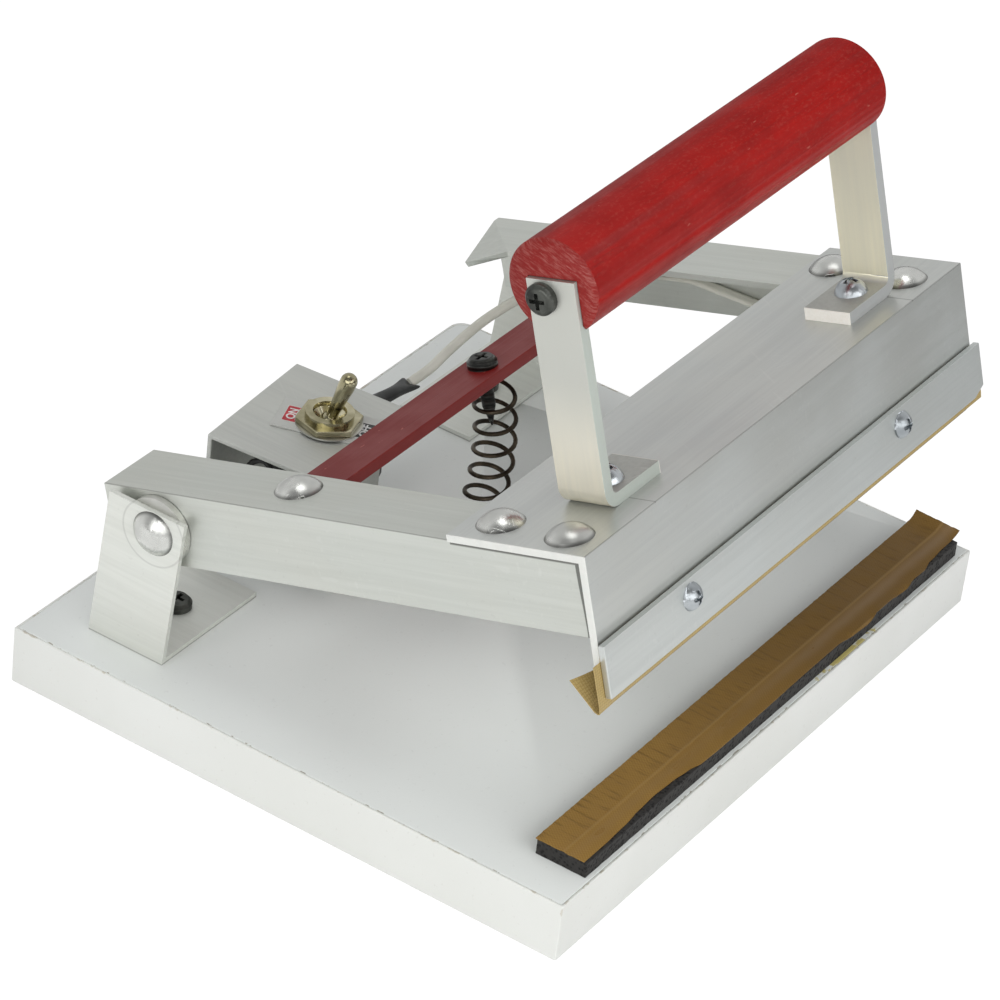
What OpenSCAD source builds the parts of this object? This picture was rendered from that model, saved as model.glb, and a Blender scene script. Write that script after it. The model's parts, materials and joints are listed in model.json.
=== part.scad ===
// Tabletop heat sealer: a hinged aluminium frame with a heated edge that presses on a foam pad.
// Millimetres, +Z up. The origin is the middle of the board's underside, and the jaw is at -Y.
// Jaw frame pieces are drawn level, with the pivot at zero, and then lifted by the open angle.

/* [Board] */
// Width of the board, along the jaw
board_w = 178; // [172:1:260]
// Depth of the board, front to back
board_d = 150; // [146:1:220]
// Thickness of the board
board_t = 15; // [12:0.5:25]
// Thickness of the edge banding
banding_t = 0.8; // [0.4:0.1:2]

/* [Hinge brackets] */
// Distance of the pivot from the board's rear edge
pivot_setback = 28.7; // [26:0.1:34]
// Height of the pivot above the board
pivot_h = 33.9; // [32:0.1:40]
// Angle of the open jaw frame above level
open_angle = 17; // [10:0.5:22]
// Thickness of the bracket sheet
bracket_t = 1.3; // [1:0.1:3]
// Width of a bracket, front to back
bracket_w = 20.9; // [18:0.1:24]
// Reach of a bracket's foot in front of the pivot
bracket_fore = 5; // [3:0.1:8]
// Lean of a bracket's top towards the front
bracket_lean = 3.3; // [0:0.1:5]
// Height of the left bracket's top edge above the pivot
left_bracket_over = 5.6; // [4:0.1:9]
// Height of the right bracket's top edge above the pivot
right_bracket_over = 3.8; // [3:0.1:9]
// Clearance between the left bracket's foot and the switch housing
left_foot_gap = 10.4; // [6:0.1:14]
// Length of the right bracket's foot
right_foot = 40.5; // [30:0.1:44]
// Distance of a foot screw from its bracket's outer face
foot_screw_in = 19; // [14:0.5:24]

/* [Rivets] */
// Diameter of the rivets' shanks
rivet_d = 5; // [3:0.1:6]
// Diameter of the rivets' dome heads
rivet_head_d = 11; // [9:0.1:11.2]
// Height of the dome heads
rivet_head_h = 2.8; // [2:0.1:4.5]
// Diameter of the rivets' upset tails
rivet_tail_d = 8; // [7:0.1:10]
// Height of the upset tails
rivet_tail_h = 1.3; // [0.8:0.1:2]
// Diameter of the pivot washers
washer_d = 16.5; // [14:0.5:22]
// Thickness of the pivot washers
washer_t = 1.6; // [0.5:0.1:2]
// Side play of the arms, on each face
hinge_play = 0.15; // [0.1:0.05:0.4]
// Running clearance of the arms on the pivot rivets, on the radius
pivot_gap = 0.05; // [0.02:0.01:0.1]

/* [Jaw frame] */
// Mean distance of the arms' outer faces from the board's sides
frame_in = 10.5; // [9:0.1:14]
// Offset of the frame from the board's middle
frame_x = 3.5; // [0:0.1:4]
// Height of an arm's upright leg
arm_leg = 18; // [16:0.1:22]
// Width of an arm's top flange
arm_flange = 18; // [16:0.1:22]
// Thickness of the arms' walls
arm_t = 1.6; // [1:0.1:2.5]
// Height of the arms' top face above the pivot
arm_top = 9.1; // [8:0.1:11]
// Reach of the arms behind the pivot
arm_tail = 14.5; // [11:0.1:18]
// Width of the bent ear on the right arm's tail
ear_w = 16; // [8:0.5:16]
// Length of the bent ear along the arm
ear_l = 15; // [12:0.5:26]
// Downward bend of the ear
ear_bend = 26; // [0:1:35]
// Distance from the pivot to the jaw's front face
jaw_reach = 116; // [110:0.5:118]
// Depth of the front angle's top flange
angle_top = 35.4; // [33:0.1:40]
// Height of the front angle's front flange
angle_front = 34.6; // [32:0.1:36]
// Thickness of the front angle
angle_t = 1.8; // [1.2:0.1:3]
// Overhang of the front angle past each arm
angle_overhang = 1; // [0:0.1:2]
// Clearance between the arms' ends and the front angle
arm_gap = 0.5; // [0.2:0.1:1]
// Left rivets: distance in from the arm's outer face, and back from the jaw's front face
left_rivets = [[7.6, 27], [6.6, 8.7]];
// Right rivets, likewise
right_rivets = [[9.5, 28.5], [11.4, 8]];

/* [Spring and bar] */
// Width of the spring bar
bar_w = 11; // [9:0.5:14]
// Thickness of the spring bar
bar_t = 3; // [2:0.1:5]
// Distance of the bar's middle from the pivot
bar_reach = 32.1; // [30:0.1:36]
// Distance of the bar's rivets from the arms' outer faces
bar_rivet_in = 11; // [8:0.5:13]
// End clearance of the bar against the arms
bar_gap = 0.3; // [0.1:0.1:1]
// Place of the bar's screw along the board
spring_x = 7.2; // [-10:0.1:15]
// Offset of the spring from that screw: to the right, and to the front
spring_off = [0.6, 0.6];
// Outer diameter of the spring
spring_d = 10.8; // [10.4:0.1:13]
// Diameter of the spring's wire
wire_d = 1.1; // [0.8:0.1:1.2]
// Turns of the spring
spring_turns = 7.5; // [6:0.5:9]
// Clearance between spring and bar
spring_gap = 0.4; // [0.2:0.1:0.8]

/* [Handle] */
// Diameter of the grip
grip_d = 22.2; // [20:0.1:30]
// Mean distance of the straps' inner faces from the arms' outer faces
grip_in = 20.65; // [20.4:0.05:28]
// Offset of the handle from the frame's middle
grip_x = 0.6; // [0:0.1:0.8]
// Height of the grip's axis above the front angle
grip_h = 50.6; // [40:0.1:70]
// Distance of the grip's axis behind the straps' middle
grip_back = 0.5; // [0:0.1:1]
// Distance of the handle's screws behind the straps' middle
grip_screw_back = 2.3; // [0:0.1:3]
// Distance of the handle's screws below the grip's axis
grip_screw_down = 1.9; // [0:0.1:3]
// Width of the straps
strap_w = 12; // [10:0.1:14]
// Thickness of the straps
strap_t = 3; // [2:0.1:4]
// Inner radius of the straps' bend
strap_bend = 1.6; // [0.5:0.1:3]
// Length of a strap's foot
strap_foot = 20.8; // [18:0.1:24]
// Height of a strap's end above the grip's axis
strap_over = 2.2; // [2.2:0.1:8]
// Distance of the straps' middle from the jaw's front face
strap_set = 12.7; // [10:0.1:16]
// Depth of the straps' seats in the grip's ends
strap_let = 2; // [1:0.1:2.5]
// Clearance round a strap in its seat
seat_gap = 0.15; // [0.1:0.05:0.5]
// Distance of the left foot's screw from the strap's outer face
left_strap_screw = 9.4; // [9:0.1:14]
// Distance of the right foot's screw from the strap's outer face
right_strap_screw = 9.8; // [9:0.1:14]

/* [Screws] */
// Head diameter of the black screws
black_head_d = 7.2; // [6.5:0.1:9]
// Head height of the black screws
black_head_h = 2.4; // [1.8:0.1:3]
// Shank diameter of the black screws
black_shank_d = 3.2; // [2.5:0.1:3.6]
// Length of the screws into wood
wood_screw_l = 12; // [8:0.5:14]
// Length of the bar's screw below the bar
bar_screw_l = 12; // [8:0.5:14]
// Length of the handle's screws in the grip
grip_screw_l = 20; // [12:1:25]
// Head diameter of the strap screws
strap_head_d = 7.8; // [7:0.1:10]
// Head height of the strap screws
strap_head_h = 3.3; // [2:0.1:3.5]
// Shank diameter of the strap screws
strap_shank_d = 4; // [3:0.1:5]
// Head diameter of the clamp screws
clamp_head_d = 6.5; // [5:0.1:8]
// Head height of the clamp screws
clamp_head_h = 2.3; // [1.5:0.1:3]
// Shank diameter of the clamp screws
clamp_shank_d = 3; // [2:0.1:4]
// Thickness of the nuts, as a share of their screw's diameter
nut_ratio = 0.8; // [0.6:0.05:1]
// Head diameter of the small screws at the housing and under the spring
small_head_d = 5.6; // [4:0.1:6.4]

/* [Sealing edge] */
// Overhang of the clamp strip past each arm
strip_over = 1.75; // [0:0.05:3]
// Height of the clamp strip
strip_h = 12.4; // [10:0.1:15]
// Thickness of the clamp strip
strip_t = 1.6; // [0.8:0.1:3]
// Height of the strip's lower edge above the jaw's edge
strip_up = 1.9; // [1:0.1:4]
// Width of the strip's clipped corner
strip_clip = 4; // [0:0.5:8]
// Distance between the clamp screws
clamp_l = 90; // [70:1:110]
// Offset of the clamp screws from the frame's middle
clamp_x = -1.8; // [-4:0.1:4]
// Distance of the clamp screws below the strip's upper edge
clamp_down = 4.4; // [4:0.1:6]
// Thickness of the insulating tape on the edge
insulation_t = 0.3; // [0.2:0.05:0.5]
// Distance of the heating band's ends from the arms' inner faces
element_in = 3.9; // [3.5:0.1:12]
// Width of the heating band
element_w = 2.2; // [1.5:0.1:2.4]
// Thickness of the heating band
element_t = 0.3; // [0.2:0.05:0.5]
// Thickness of the tape over the band
tape_t = 0.2; // [0.1:0.05:0.4]
// Overhang of the tape over the band past each arm
tape_over = 2.75; // [2:0.05:4]
// Clearance between that tape and the clamp nuts
tape_gap = 0.3; // [0.2:0.1:1]
// Distance of that tape's front edge below the strip's upper edge
tape_down = 1; // [0.3:0.1:2]

/* [Pad] */
// Overhang of the foam strip past each arm
foam_over = 2.75; // [0:0.05:4]
// Width of the foam strip
foam_w = 13.4; // [10:0.1:14]
// Thickness of the foam strip
foam_t = 4; // [2:0.1:8]
// Distance of the foam's middle behind the line where the jaw lands
foam_set = 1; // [0:0.1:2]
// Thickness of the tape on the foam
pad_tape_t = 0.25; // [0.1:0.05:0.5]
// Overhang of that tape past the foam's right end
pad_tape_over = 2.5; // [0:0.1:4]
// Clearance left between tape and tape with the jaw shut
shut_gap = 0.4; // [0.2:0.1:1]

/* [Switch] */
// Length of the switch housing, along the jaw
housing_l = 38.5; // [34:0.5:44]
// Depth of the switch housing
housing_d = 37; // [34:0.5:40]
// Height of the switch housing
housing_h = 29; // [28:0.5:36]
// Thickness of the housing's sheet
housing_t = 1.2; // [0.8:0.1:2]
// Place of the housing's middle along the jaw
housing_x = -11.5; // [-16:0.5:-6]
// Distance of the housing's rear wall from the board's rear edge
housing_back = 8; // [5:0.5:12]
// Turn of the housing, seen from above
housing_turn = 4; // [0:0.5:6]
// Width of the housing's front leg
leg_w = 16.5; // [10:0.5:18]
// Length of the housing's feet
housing_foot = 9; // [7:0.5:9]
// Distance of the switch to the right of the housing's middle
toggle_x = 1.9; // [0:0.1:2.5]
// Distance of the switch in front of the housing's middle
toggle_fore = 1.3; // [0:0.1:4]
// Diameter of the switch's bushing
bush_d = 11.6; // [10:0.1:12]
// Bore of the bushing
bush_bore = 8; // [6.8:0.1:8.4]
// Height of the bushing above the housing
bush_h = 3.8; // [3.4:0.1:6]
// Width of the bushing's nut across flats
nut_af = 14; // [13.4:0.1:17]
// Thickness of the bushing's nut
bush_nut_h = 1.6; // [1.2:0.1:2]
// Diameter of the washer under the nut
bush_washer_d = 16; // [15:0.1:20]
// Thickness of that washer
bush_washer_t = 0.4; // [0.3:0.1:0.6]
// Width of the switch plate
plate_w = 12.2; // [12.1:0.1:18]
// Length of the switch plate
plate_l = 25; // [20:0.5:26]
// Thickness of the switch plate
plate_t = 0.4; // [0.2:0.1:0.8]
// Turn of the switch in its housing, seen from above
switch_turn = 15; // [0:1:20]
// Width of the switch's body
body_w = 15; // [12:0.5:16]
// Length of the switch's body
body_l = 24; // [20:0.5:25]
// Depth of the switch's body
body_h = 14; // [10:0.5:16]
// Length of the lever from its pivot
lever_l = 14.6; // [10:0.1:18]
// Diameter of the lever's tip
lever_tip_d = 4.1; // [3:0.1:5]
// Diameter of the lever's neck
lever_neck_d = 2.8; // [2:0.1:3.2]
// Lean of the lever on each side of upright
lever_lean = 17.5; // [8:0.5:18]
// Height of the lever's pivot above the housing
lever_up = 0.9; // [0.5:0.1:1.5]
// Diameter of the lever's ball
ball_d = 4.8; // [4:0.1:6]
// Clearance below the lever's ball
ball_gap = 0.2; // [0.1:0.05:0.4]
// Diameter of the lever's pivot pin
pin_d = 1.6; // [1:0.1:2]
// Running clearance of the lever on its pin, on the radius
pin_gap = 0.05; // [0.02:0.01:0.1]

/* [Lead] */
// Diameter of the heater lead
lead_d = 2.4; // [2:0.1:3]
// Diameter of the wires at the switch and at the heating band
wire_core_d = 1.4; // [1:0.1:1.8]
// Diameter of the taped end of the lead
sleeve_d = 5; // [4:0.1:6]
// Length of the taped end outside the housing
sleeve_l = 19; // [12:0.5:22]
// Length of the taped end inside the housing
sleeve_in = 6; // [4:0.5:8]
// Distance of the taped end's inner end behind the housing's middle
sleeve_side = 0.6; // [0:0.1:2]
// Distance of the taped end below the housing's top
sleeve_down = 6; // [5:0.1:8]
// Swing of the free lead towards the rear
lead_bow = 3.5; // [2:0.1:6]
// Sag of the free lead
lead_sag = 2.9; // [1:0.1:4]
// Outer diameter of the supply grommet
grommet_d = 9; // [8:0.1:11]

/* [Hidden] */
$fn = 48;

// Depth that a cut runs past a face
past = 1;
pivot_y = board_d / 2 - pivot_setback;
pivot_z = board_t + pivot_h;

// Level frame: y runs back from the pivot and z up from it
frame_w = board_w - 2 * frame_in;
frame_left = frame_x - frame_w / 2;
frame_right = frame_x + frame_w / 2;
angle_z = arm_top + angle_t;
edge_z = angle_z - angle_front;
front_y = -jaw_reach;
inner_y = front_y + angle_t;
bar_z = arm_top - arm_t - bar_t;
strap_y = front_y + strap_set;
grip_z = angle_z + grip_h;
strap_span = frame_w - 2 * grip_in;
strap_left = frame_x + grip_x - strap_span / 2 - strap_t;
strap_right = frame_x + grip_x + strap_span / 2 + strap_t;
grip_l = strap_span + 2 * strap_let;
element_l = frame_w - 2 * arm_t - 2 * element_in;
element_z = edge_z - insulation_t - element_t;
strip_l = frame_w + 2 * strip_over;
strip_z = edge_z + strip_up;
clamp_z = strip_z + strip_h - clamp_down;
clamp_xs = [frame_x + clamp_x - clamp_l / 2, frame_x + clamp_x + clamp_l / 2];
nut_across = 1.8;
clamp_nut_r = clamp_shank_d * nut_across / cos(30) / 2;
tape_l = frame_w + 2 * tape_over;
tape_top_z = strip_z + strip_h - tape_down;
tape_rear_z = clamp_z - clamp_nut_r - tape_gap;
foam_l = frame_w + 2 * foam_over;

// The shut jaw: the tape's lower edge comes down on the pad
pad_top = board_t + foam_t + pad_tape_t;
land_y = inner_y - angle_t / 2;
land_z = element_z - tape_t;
land_r = norm([land_y, land_z]);
shut_tilt = asin((pad_top + shut_gap - pivot_z) / land_r) - atan2(land_z, -land_y);
shut_angle = open_angle - shut_tilt;
foam_y = pivot_y - land_r * cos(shut_tilt + atan2(land_z, -land_y)) + foam_set;
echo(shut_angle_deg = shut_angle);

// Brackets stand outside the arms with a washer between
bracket_off = washer_t + hinge_play;
left_bracket_x = frame_left - bracket_off - bracket_t;
housing_left = housing_x - housing_l / 2 * cos(housing_turn) - housing_d / 2 * sin(housing_turn);
left_foot = housing_left - left_foot_gap - left_bracket_x;
right_bracket_x = frame_right + bracket_off + bracket_t;
foot_y = pivot_y - bracket_fore;
foot_screw_y = foot_y + bracket_w / 2;

// Switch housing and what sits on it, in the housing's own axes
housing_y = board_d / 2 - housing_back - housing_d / 2;
toggle_y = -toggle_fore;
body_top = housing_h - housing_t;
body_foot = body_top - body_h;
lever_pivot_z = housing_h + lever_up;
bore_floor = lever_pivot_z - ball_d / 2 - ball_gap;
tag_l = 6;
tag_t = 0.8;
tag_w = 3.4;
tag_y = body_l / 4;
grommet_x = -9;
grommet_z = 9;
grommet_lip = 1.4;
housing_feet = [[-housing_l / 4, 1], [housing_l / 4, 1], [-housing_l / 2 + leg_w / 2, -1]];
foot_hole_in = housing_t + (housing_foot - housing_t) / 2;
small_shank_d = 2.4;
small_head_h = 1.8;

// Spring: it stands on the board, round the middle of the bar's screw
spring_r = (spring_d - wire_d) / 2;
screw_mid_z = bar_z - bar_screw_l / 2;
coil_x = spring_x + spring_off[0];
spring_y = from_frame([0, -bar_reach, screw_mid_z])[1] - spring_off[1];
spring_low = board_t + wire_d / 2;
wire_z = bar_z - wire_d / 2 - spring_gap;
spring_high = pivot_z + wire_z / cos(open_angle)
    + (pivot_y - spring_y + spring_r * cos(360 * spring_turns)) * tan(open_angle);
spring_rings = 8;

// Routes of the leads, chosen by hand: the free lead in the part's axes, the others in the frame's
// Clearance between the ends of leads that meet, and of the lead from the arm's wall
end_gap = 0.25;
joint_gap = 0.5;
wall_gap = 0.1;
sleeve_z = housing_h - sleeve_down;
sleeve_from = [housing_l / 2 - sleeve_in, sleeve_side, sleeve_z];
sleeve_to = [housing_l / 2 + sleeve_l, -sleeve_side, sleeve_z];
lead_in = [frame_right - arm_t - lead_d / 2 - wall_gap, -10, -2];
free_from = to_board(sleeve_to + [end_gap, 0, 0]);
free_to = from_frame(lead_in + [-0.7, 3, -0.4]);
// The free lead's way between its ends: share of the way, of its swing and of its sag
free_way = [
    [0.134, 0.12, 0.56], [0.268, 0.52, 0.91], [0.401, 0.82, 0.99], [0.535, 1, 0.86],
    [0.668, 0.93, 0.66], [0.783, 0.7, 0.32], [0.878, 0.38, 0.05], [0.954, 0.16, -0.05]
];
lead_route = concat(
    [free_from],
    [for (s = free_way) free_from + s[0] * (free_to - free_from) + [0, s[1] * lead_bow, -s[2] * lead_sag]],
    [free_to, from_frame(lead_in + [0, joint_gap, -joint_gap / 10])]
);
arm_route = [
    lead_in,
    lead_in + [0, -10, 1],
    lead_in + [0, -20, 2],
    lead_in + [0, -32, 2.1],
    lead_in + [0, -40, 0.2],
    lead_in + [0, -50, -2.3],
    lead_in + [0, -56, -3.6]
];
crimp_d = 3;
crimp_h = 8;
crimp_y = inner_y + insulation_t + element_t + crimp_d / 2 + tape_t;
crimp_z = tape_rear_z + 1;
crimp_xs = [frame_x - element_l / 2, frame_x + element_l / 2];
core_from = arm_route[6];
right_core = [
    core_from + [-wire_core_d / 2, -end_gap, 0],
    core_from + [-1, -12, -1],
    [crimp_xs[1], crimp_y + 6, crimp_z + crimp_h + 5],
    [crimp_xs[1], crimp_y + 0.4, crimp_z + crimp_h + 3.5],
    [crimp_xs[1], crimp_y, crimp_z + crimp_h + end_gap]
];
// The long wire's way under the front angle: share of the frame's width, behind the jaw, below the arms' top
core_way = [[0.873, 28, 5.1], [0.732, 24, 4.1], [0.478, 23, 4.1], [0.223, 24, 4.1]];
left_core = concat(
    [core_from + [-1.5 * wire_core_d - end_gap, -end_gap, 0], core_from + [-4, -8, 2]],
    [for (s = core_way) [frame_left + s[0] * frame_w, front_y + s[1], arm_top - s[2]]],
    [
        [crimp_xs[0] + 8, crimp_y + 12, crimp_z + crimp_h + 9],
        [crimp_xs[0] + 1.5, crimp_y + 3, crimp_z + crimp_h + 6],
        [crimp_xs[0], crimp_y, crimp_z + crimp_h + 3],
        [crimp_xs[0], crimp_y, crimp_z + crimp_h + end_gap]
    ]
);

// A point of the level frame, in the part's axes
function from_frame(p) = [
    p[0],
    pivot_y + p[1] * cos(open_angle) + p[2] * sin(open_angle),
    pivot_z - p[1] * sin(open_angle) + p[2] * cos(open_angle)
];

// A point of the housing, in the part's axes
function to_board(p) = [
    housing_x + p[0] * cos(housing_turn) - p[1] * sin(housing_turn),
    housing_y + p[0] * sin(housing_turn) + p[1] * cos(housing_turn),
    board_t + p[2]
];

// A point of the switch, in the housing's axes
function in_housing(p) = [
    toggle_x + p[0] * cos(switch_turn) - p[1] * sin(switch_turn),
    toggle_y + p[0] * sin(switch_turn) + p[1] * cos(switch_turn),
    p[2]
];

// Points of an arc, and of a dome's outline from its top to its rim
function arc_points(c, r, from, to, n) = [
    for (i = [0:n])
        let (a = from + (to - from) * i / n)
        [c[0] + r * cos(a), c[1] + r * sin(a)]
];
function dome_points(d, h) =
    let (r = (d * d / 4 + h * h) / (2 * h), reach = asin(d / 2 / r), n = 8)
    [for (i = [0:n]) [r * sin(reach * i / n), h - r + r * cos(reach * i / n)]];

// A smooth run through hand-chosen points
function blend(a, b, c, d, t) =
    0.5 * (2 * b + (c - a) * t + (2 * a - 5 * b + 4 * c - d) * t * t + (3 * b - a - 3 * c + d) * t * t * t);
function smooth(p, steps) = concat(
    [for (i = [0:len(p) - 2], k = [0:steps - 1])
        blend(p[max(i - 1, 0)], p[i], p[i + 1], p[min(i + 2, len(p) - 1)], k / steps)],
    [p[len(p) - 1]]
);

// Frames along a run, each turned as little as possible from the one before
function unit(v) = v / norm(v);
function heading(p, i) = unit(p[min(i + 1, len(p) - 1)] - p[max(i - 1, 0)]);
function square_to(v, t) = unit(v - (v * t) * t);
function sides_of(p, v, i = 0) =
    i == len(p) ? [] : let (s = square_to(v, heading(p, i))) concat([s], sides_of(p, s, i + 1));

// The spring's wire, with an end that runs straight for one wire diameter
function coil_point(a) = [
    coil_x + spring_r * cos(a - 90),
    spring_y + spring_r * sin(a - 90),
    spring_low + (spring_high - spring_low) * a / (360 * spring_turns)
];
coil_end = 360 * spring_turns;
coil = concat(
    [coil_point(0) - [wire_d, 0, 0]],
    [for (i = [0:spring_rings * spring_turns]) coil_point(i * 360 / spring_rings)],
    [coil_point(coil_end) + wire_d * [cos(coil_end), sin(coil_end), 0]]
);
coil_gap = min([
    for (i = [0:len(coil) - 1], k = [i + spring_rings / 2:len(coil) - 1])
        norm(coil[i] - coil[k]) - wire_d
]);
echo(spring_least_gap_mm = coil_gap);

// One unbroken tube along a run of points
module tube(run, d, sides) {
    turn = sides_of(run, [0.31, 0.2, 0.93]);
    rings = len(run);
    points = [
        for (i = [0:rings - 1], k = [0:sides - 1])
            let (u = turn[i], w = cross(heading(run, i), u), a = 360 * k / sides)
            run[i] + d / 2 * (cos(a) * u + sin(a) * w)
    ];
    walls = [
        for (i = [0:rings - 2], k = [0:sides - 1])
            let (a = i * sides + k, b = i * sides + (k + 1) % sides)
            each [[a, a + sides, b], [b, a + sides, b + sides]]
    ];
    near = [for (k = [1:sides - 2]) [0, k, k + 1]];
    last = (rings - 1) * sides;
    far = [for (k = [1:sides - 2]) [last, last + k + 1, last + k]];
    polyhedron(points, concat(walls, near, far));
}

// Puts a piece of the level frame into the open position
module lifted() {
    translate([0, pivot_y, pivot_z]) rotate([-open_angle, 0, 0]) children();
}

// Puts a piece of the housing onto the board
module at_housing() {
    translate([housing_x, housing_y, board_t]) rotate(housing_turn) children();
}

// Puts a piece of the switch into the housing
module at_switch() {
    at_housing() translate([toggle_x, toggle_y, 0]) rotate(switch_turn) children();
}

// A cylinder along +X
module x_rod(d, l) {
    rotate([0, 90, 0]) cylinder(d = d, h = l);
}

// A rivet with its head's seat at zero, dome up and shank down
module rivet(grip) {
    rotate_extrude() polygon(concat(
        dome_points(rivet_head_d, rivet_head_h),
        [[rivet_d / 2, 0], [rivet_d / 2, -grip], [rivet_tail_d / 2, -grip],
            [rivet_tail_d / 2, -grip - rivet_tail_h], [0, -grip - rivet_tail_h]]
    ));
}

// A cross-shaped recess that opens upwards at zero
module cross_recess(size, depth) {
    slot = size / 4;
    for (turn = [0, 90])
        rotate(turn) translate([-size / 2, -slot / 2, -depth]) cube([size, slot, depth + past]);
}

// A flat pan-head screw with its head's seat at zero, blunt or pointed
module pan_screw(head_d, head_h, shank_d, length, point) {
    difference() {
        rotate_extrude() polygon([
            [0, head_h], [head_d * 0.36, head_h], [head_d / 2, head_h * 0.55], [head_d / 2, 0],
            [shank_d / 2, 0], [shank_d / 2, point - length], [0.2, -length], [0, -length]
        ]);
        translate([0, 0, head_h]) cross_recess(head_d * 0.52, head_h * 0.6);
    }
}

// A round-head screw with its head's seat at zero
module dome_screw(head_d, head_h, shank_d, length) {
    difference() {
        rotate_extrude() polygon(concat(
            dome_points(head_d, head_h),
            [[shank_d / 2, 0], [shank_d / 2, -length], [0, -length]]
        ));
        translate([0, 0, head_h]) cross_recess(head_d * 0.5, head_h * 0.55);
    }
}

// A hex nut below zero, on a screw of the given diameter
module hex_nut(screw_d) {
    across = screw_d * nut_across;
    difference() {
        translate([0, 0, -screw_d * nut_ratio])
            cylinder(d = across / cos(30), h = screw_d * nut_ratio, $fn = 6);
        translate([0, 0, -screw_d * nut_ratio - past])
            cylinder(d = screw_d, h = screw_d * nut_ratio + 2 * past);
    }
}

// Places of the screws that go into the board, with the depth of each hole
module board_screw_places() {
    for (x = [left_bracket_x + foot_screw_in, right_bracket_x - foot_screw_in])
        translate([x, foot_screw_y, board_t + bracket_t]) children(0);
    at_housing()
        for (f = housing_feet)
            translate([f[0], f[1] * (housing_d / 2 - foot_hole_in), housing_t]) children(1);
    translate([coil_x, spring_y, board_t]) children(2);
}

module baseboard() {
    color([0.86, 0.87, 0.87]) difference() {
        translate([-board_w / 2 + banding_t, -board_d / 2 + banding_t, 0])
            cube([board_w - 2 * banding_t, board_d - 2 * banding_t, board_t]);
        board_screw_places() {
            translate([0, 0, -wood_screw_l]) cylinder(d = black_shank_d, h = wood_screw_l + past);
            translate([0, 0, -wood_screw_l]) cylinder(d = small_shank_d, h = wood_screw_l + past);
            translate([0, 0, -wood_screw_l]) cylinder(d = small_shank_d, h = wood_screw_l + past);
        }
    }
}

module edge_banding() {
    color([0.92, 0.92, 0.9]) {
        for (y = [-board_d / 2, board_d / 2 - banding_t])
            translate([-board_w / 2, y, 0]) cube([board_w, banding_t, board_t]);
        for (x = [-board_w / 2, board_w / 2 - banding_t])
            translate([x, -board_d / 2 + banding_t, 0]) cube([banding_t, board_d - 2 * banding_t, board_t]);
    }
}

// A bracket with its outer face at zero and its foot towards +X
module hinge_bracket(foot, over) {
    bracket_h = pivot_h + over;
    color([0.7, 0.71, 0.69]) difference() {
        translate([0, foot_y, board_t]) {
            cube([foot, bracket_w, bracket_t]);
            rotate([90, 0, 90]) linear_extrude(bracket_t) polygon([
                [0, 0], [-bracket_lean, bracket_h], [bracket_w - bracket_lean, bracket_h], [bracket_w, 0]
            ]);
        }
        translate([-past, pivot_y, pivot_z]) x_rod(rivet_d, bracket_t + 2 * past);
        translate([foot_screw_in, foot_screw_y, board_t - past])
            cylinder(d = black_shank_d, h = bracket_t + 2 * past);
    }
}

module left_hinge_bracket() {
    translate([left_bracket_x, 0, 0]) hinge_bracket(left_foot, left_bracket_over);
}

module right_hinge_bracket() {
    translate([right_bracket_x, 0, 0]) mirror([1, 0, 0]) hinge_bracket(right_foot, right_bracket_over);
}

module bracket_screws() {
    color([0.2, 0.21, 0.22]) board_screw_places() {
        pan_screw(black_head_d, black_head_h, black_shank_d, wood_screw_l, 4);
        union();
        union();
    }
}

// A pivot rivet for an arm whose outer face is at zero, with the arm towards +X
module pivot_rivet() {
    grip = bracket_t + washer_t + 2 * hinge_play + arm_t;
    color([0.78, 0.78, 0.76]) translate([-bracket_off - bracket_t, pivot_y, pivot_z])
        rotate([0, -90, 0]) rivet(grip);
}

module left_pivot_rivet() {
    translate([frame_left, 0, 0]) pivot_rivet();
}

module right_pivot_rivet() {
    translate([frame_right, 0, 0]) mirror([1, 0, 0]) pivot_rivet();
}

module pivot_washers() {
    color([0.74, 0.74, 0.72])
        for (x = [frame_left - bracket_off, frame_right + bracket_off - washer_t])
            translate([x, pivot_y, pivot_z]) difference() {
                x_rod(washer_d, washer_t);
                translate([-past, 0, 0]) x_rod(rivet_d, washer_t + 2 * past);
            }
}

module switch_housing() {
    color([0.66, 0.67, 0.65]) at_housing() difference() {
        union() {
            translate([-housing_l / 2, -housing_d / 2, body_top]) cube([housing_l, housing_d, housing_t]);
            translate([-housing_l / 2, housing_d / 2 - housing_t, 0]) cube([housing_l, housing_t, housing_h]);
            translate([-housing_l / 2, housing_d / 2 - housing_foot, 0])
                cube([housing_l, housing_foot, housing_t]);
            translate([-housing_l / 2, -housing_d / 2, 0]) cube([leg_w, housing_t, housing_h]);
            translate([-housing_l / 2, -housing_d / 2, 0]) cube([leg_w, housing_foot, housing_t]);
        }
        translate([toggle_x, toggle_y, body_top - past]) cylinder(d = bush_d, h = housing_t + 2 * past);
        for (f = housing_feet)
            translate([f[0], f[1] * (housing_d / 2 - foot_hole_in), -past])
                cylinder(d = small_shank_d, h = housing_t + 2 * past);
        translate([grommet_x, housing_d / 2 + past, grommet_z])
            rotate([90, 0, 0]) cylinder(d = grommet_d - 2 * grommet_lip, h = housing_t + 2 * past);
    }
}

module housing_screws() {
    color([0.3, 0.3, 0.31]) board_screw_places() {
        union();
        pan_screw(small_head_d, small_head_h, small_shank_d, wood_screw_l, 3);
        union();
    }
}

module toggle_body() {
    color([0.12, 0.12, 0.12]) at_switch() difference() {
        translate([-body_w / 2, -body_l / 2, body_foot]) cube([body_w, body_l, body_h]);
        translate([0, 0, bore_floor]) cylinder(d = bush_bore, h = body_h);
    }
}

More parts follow.
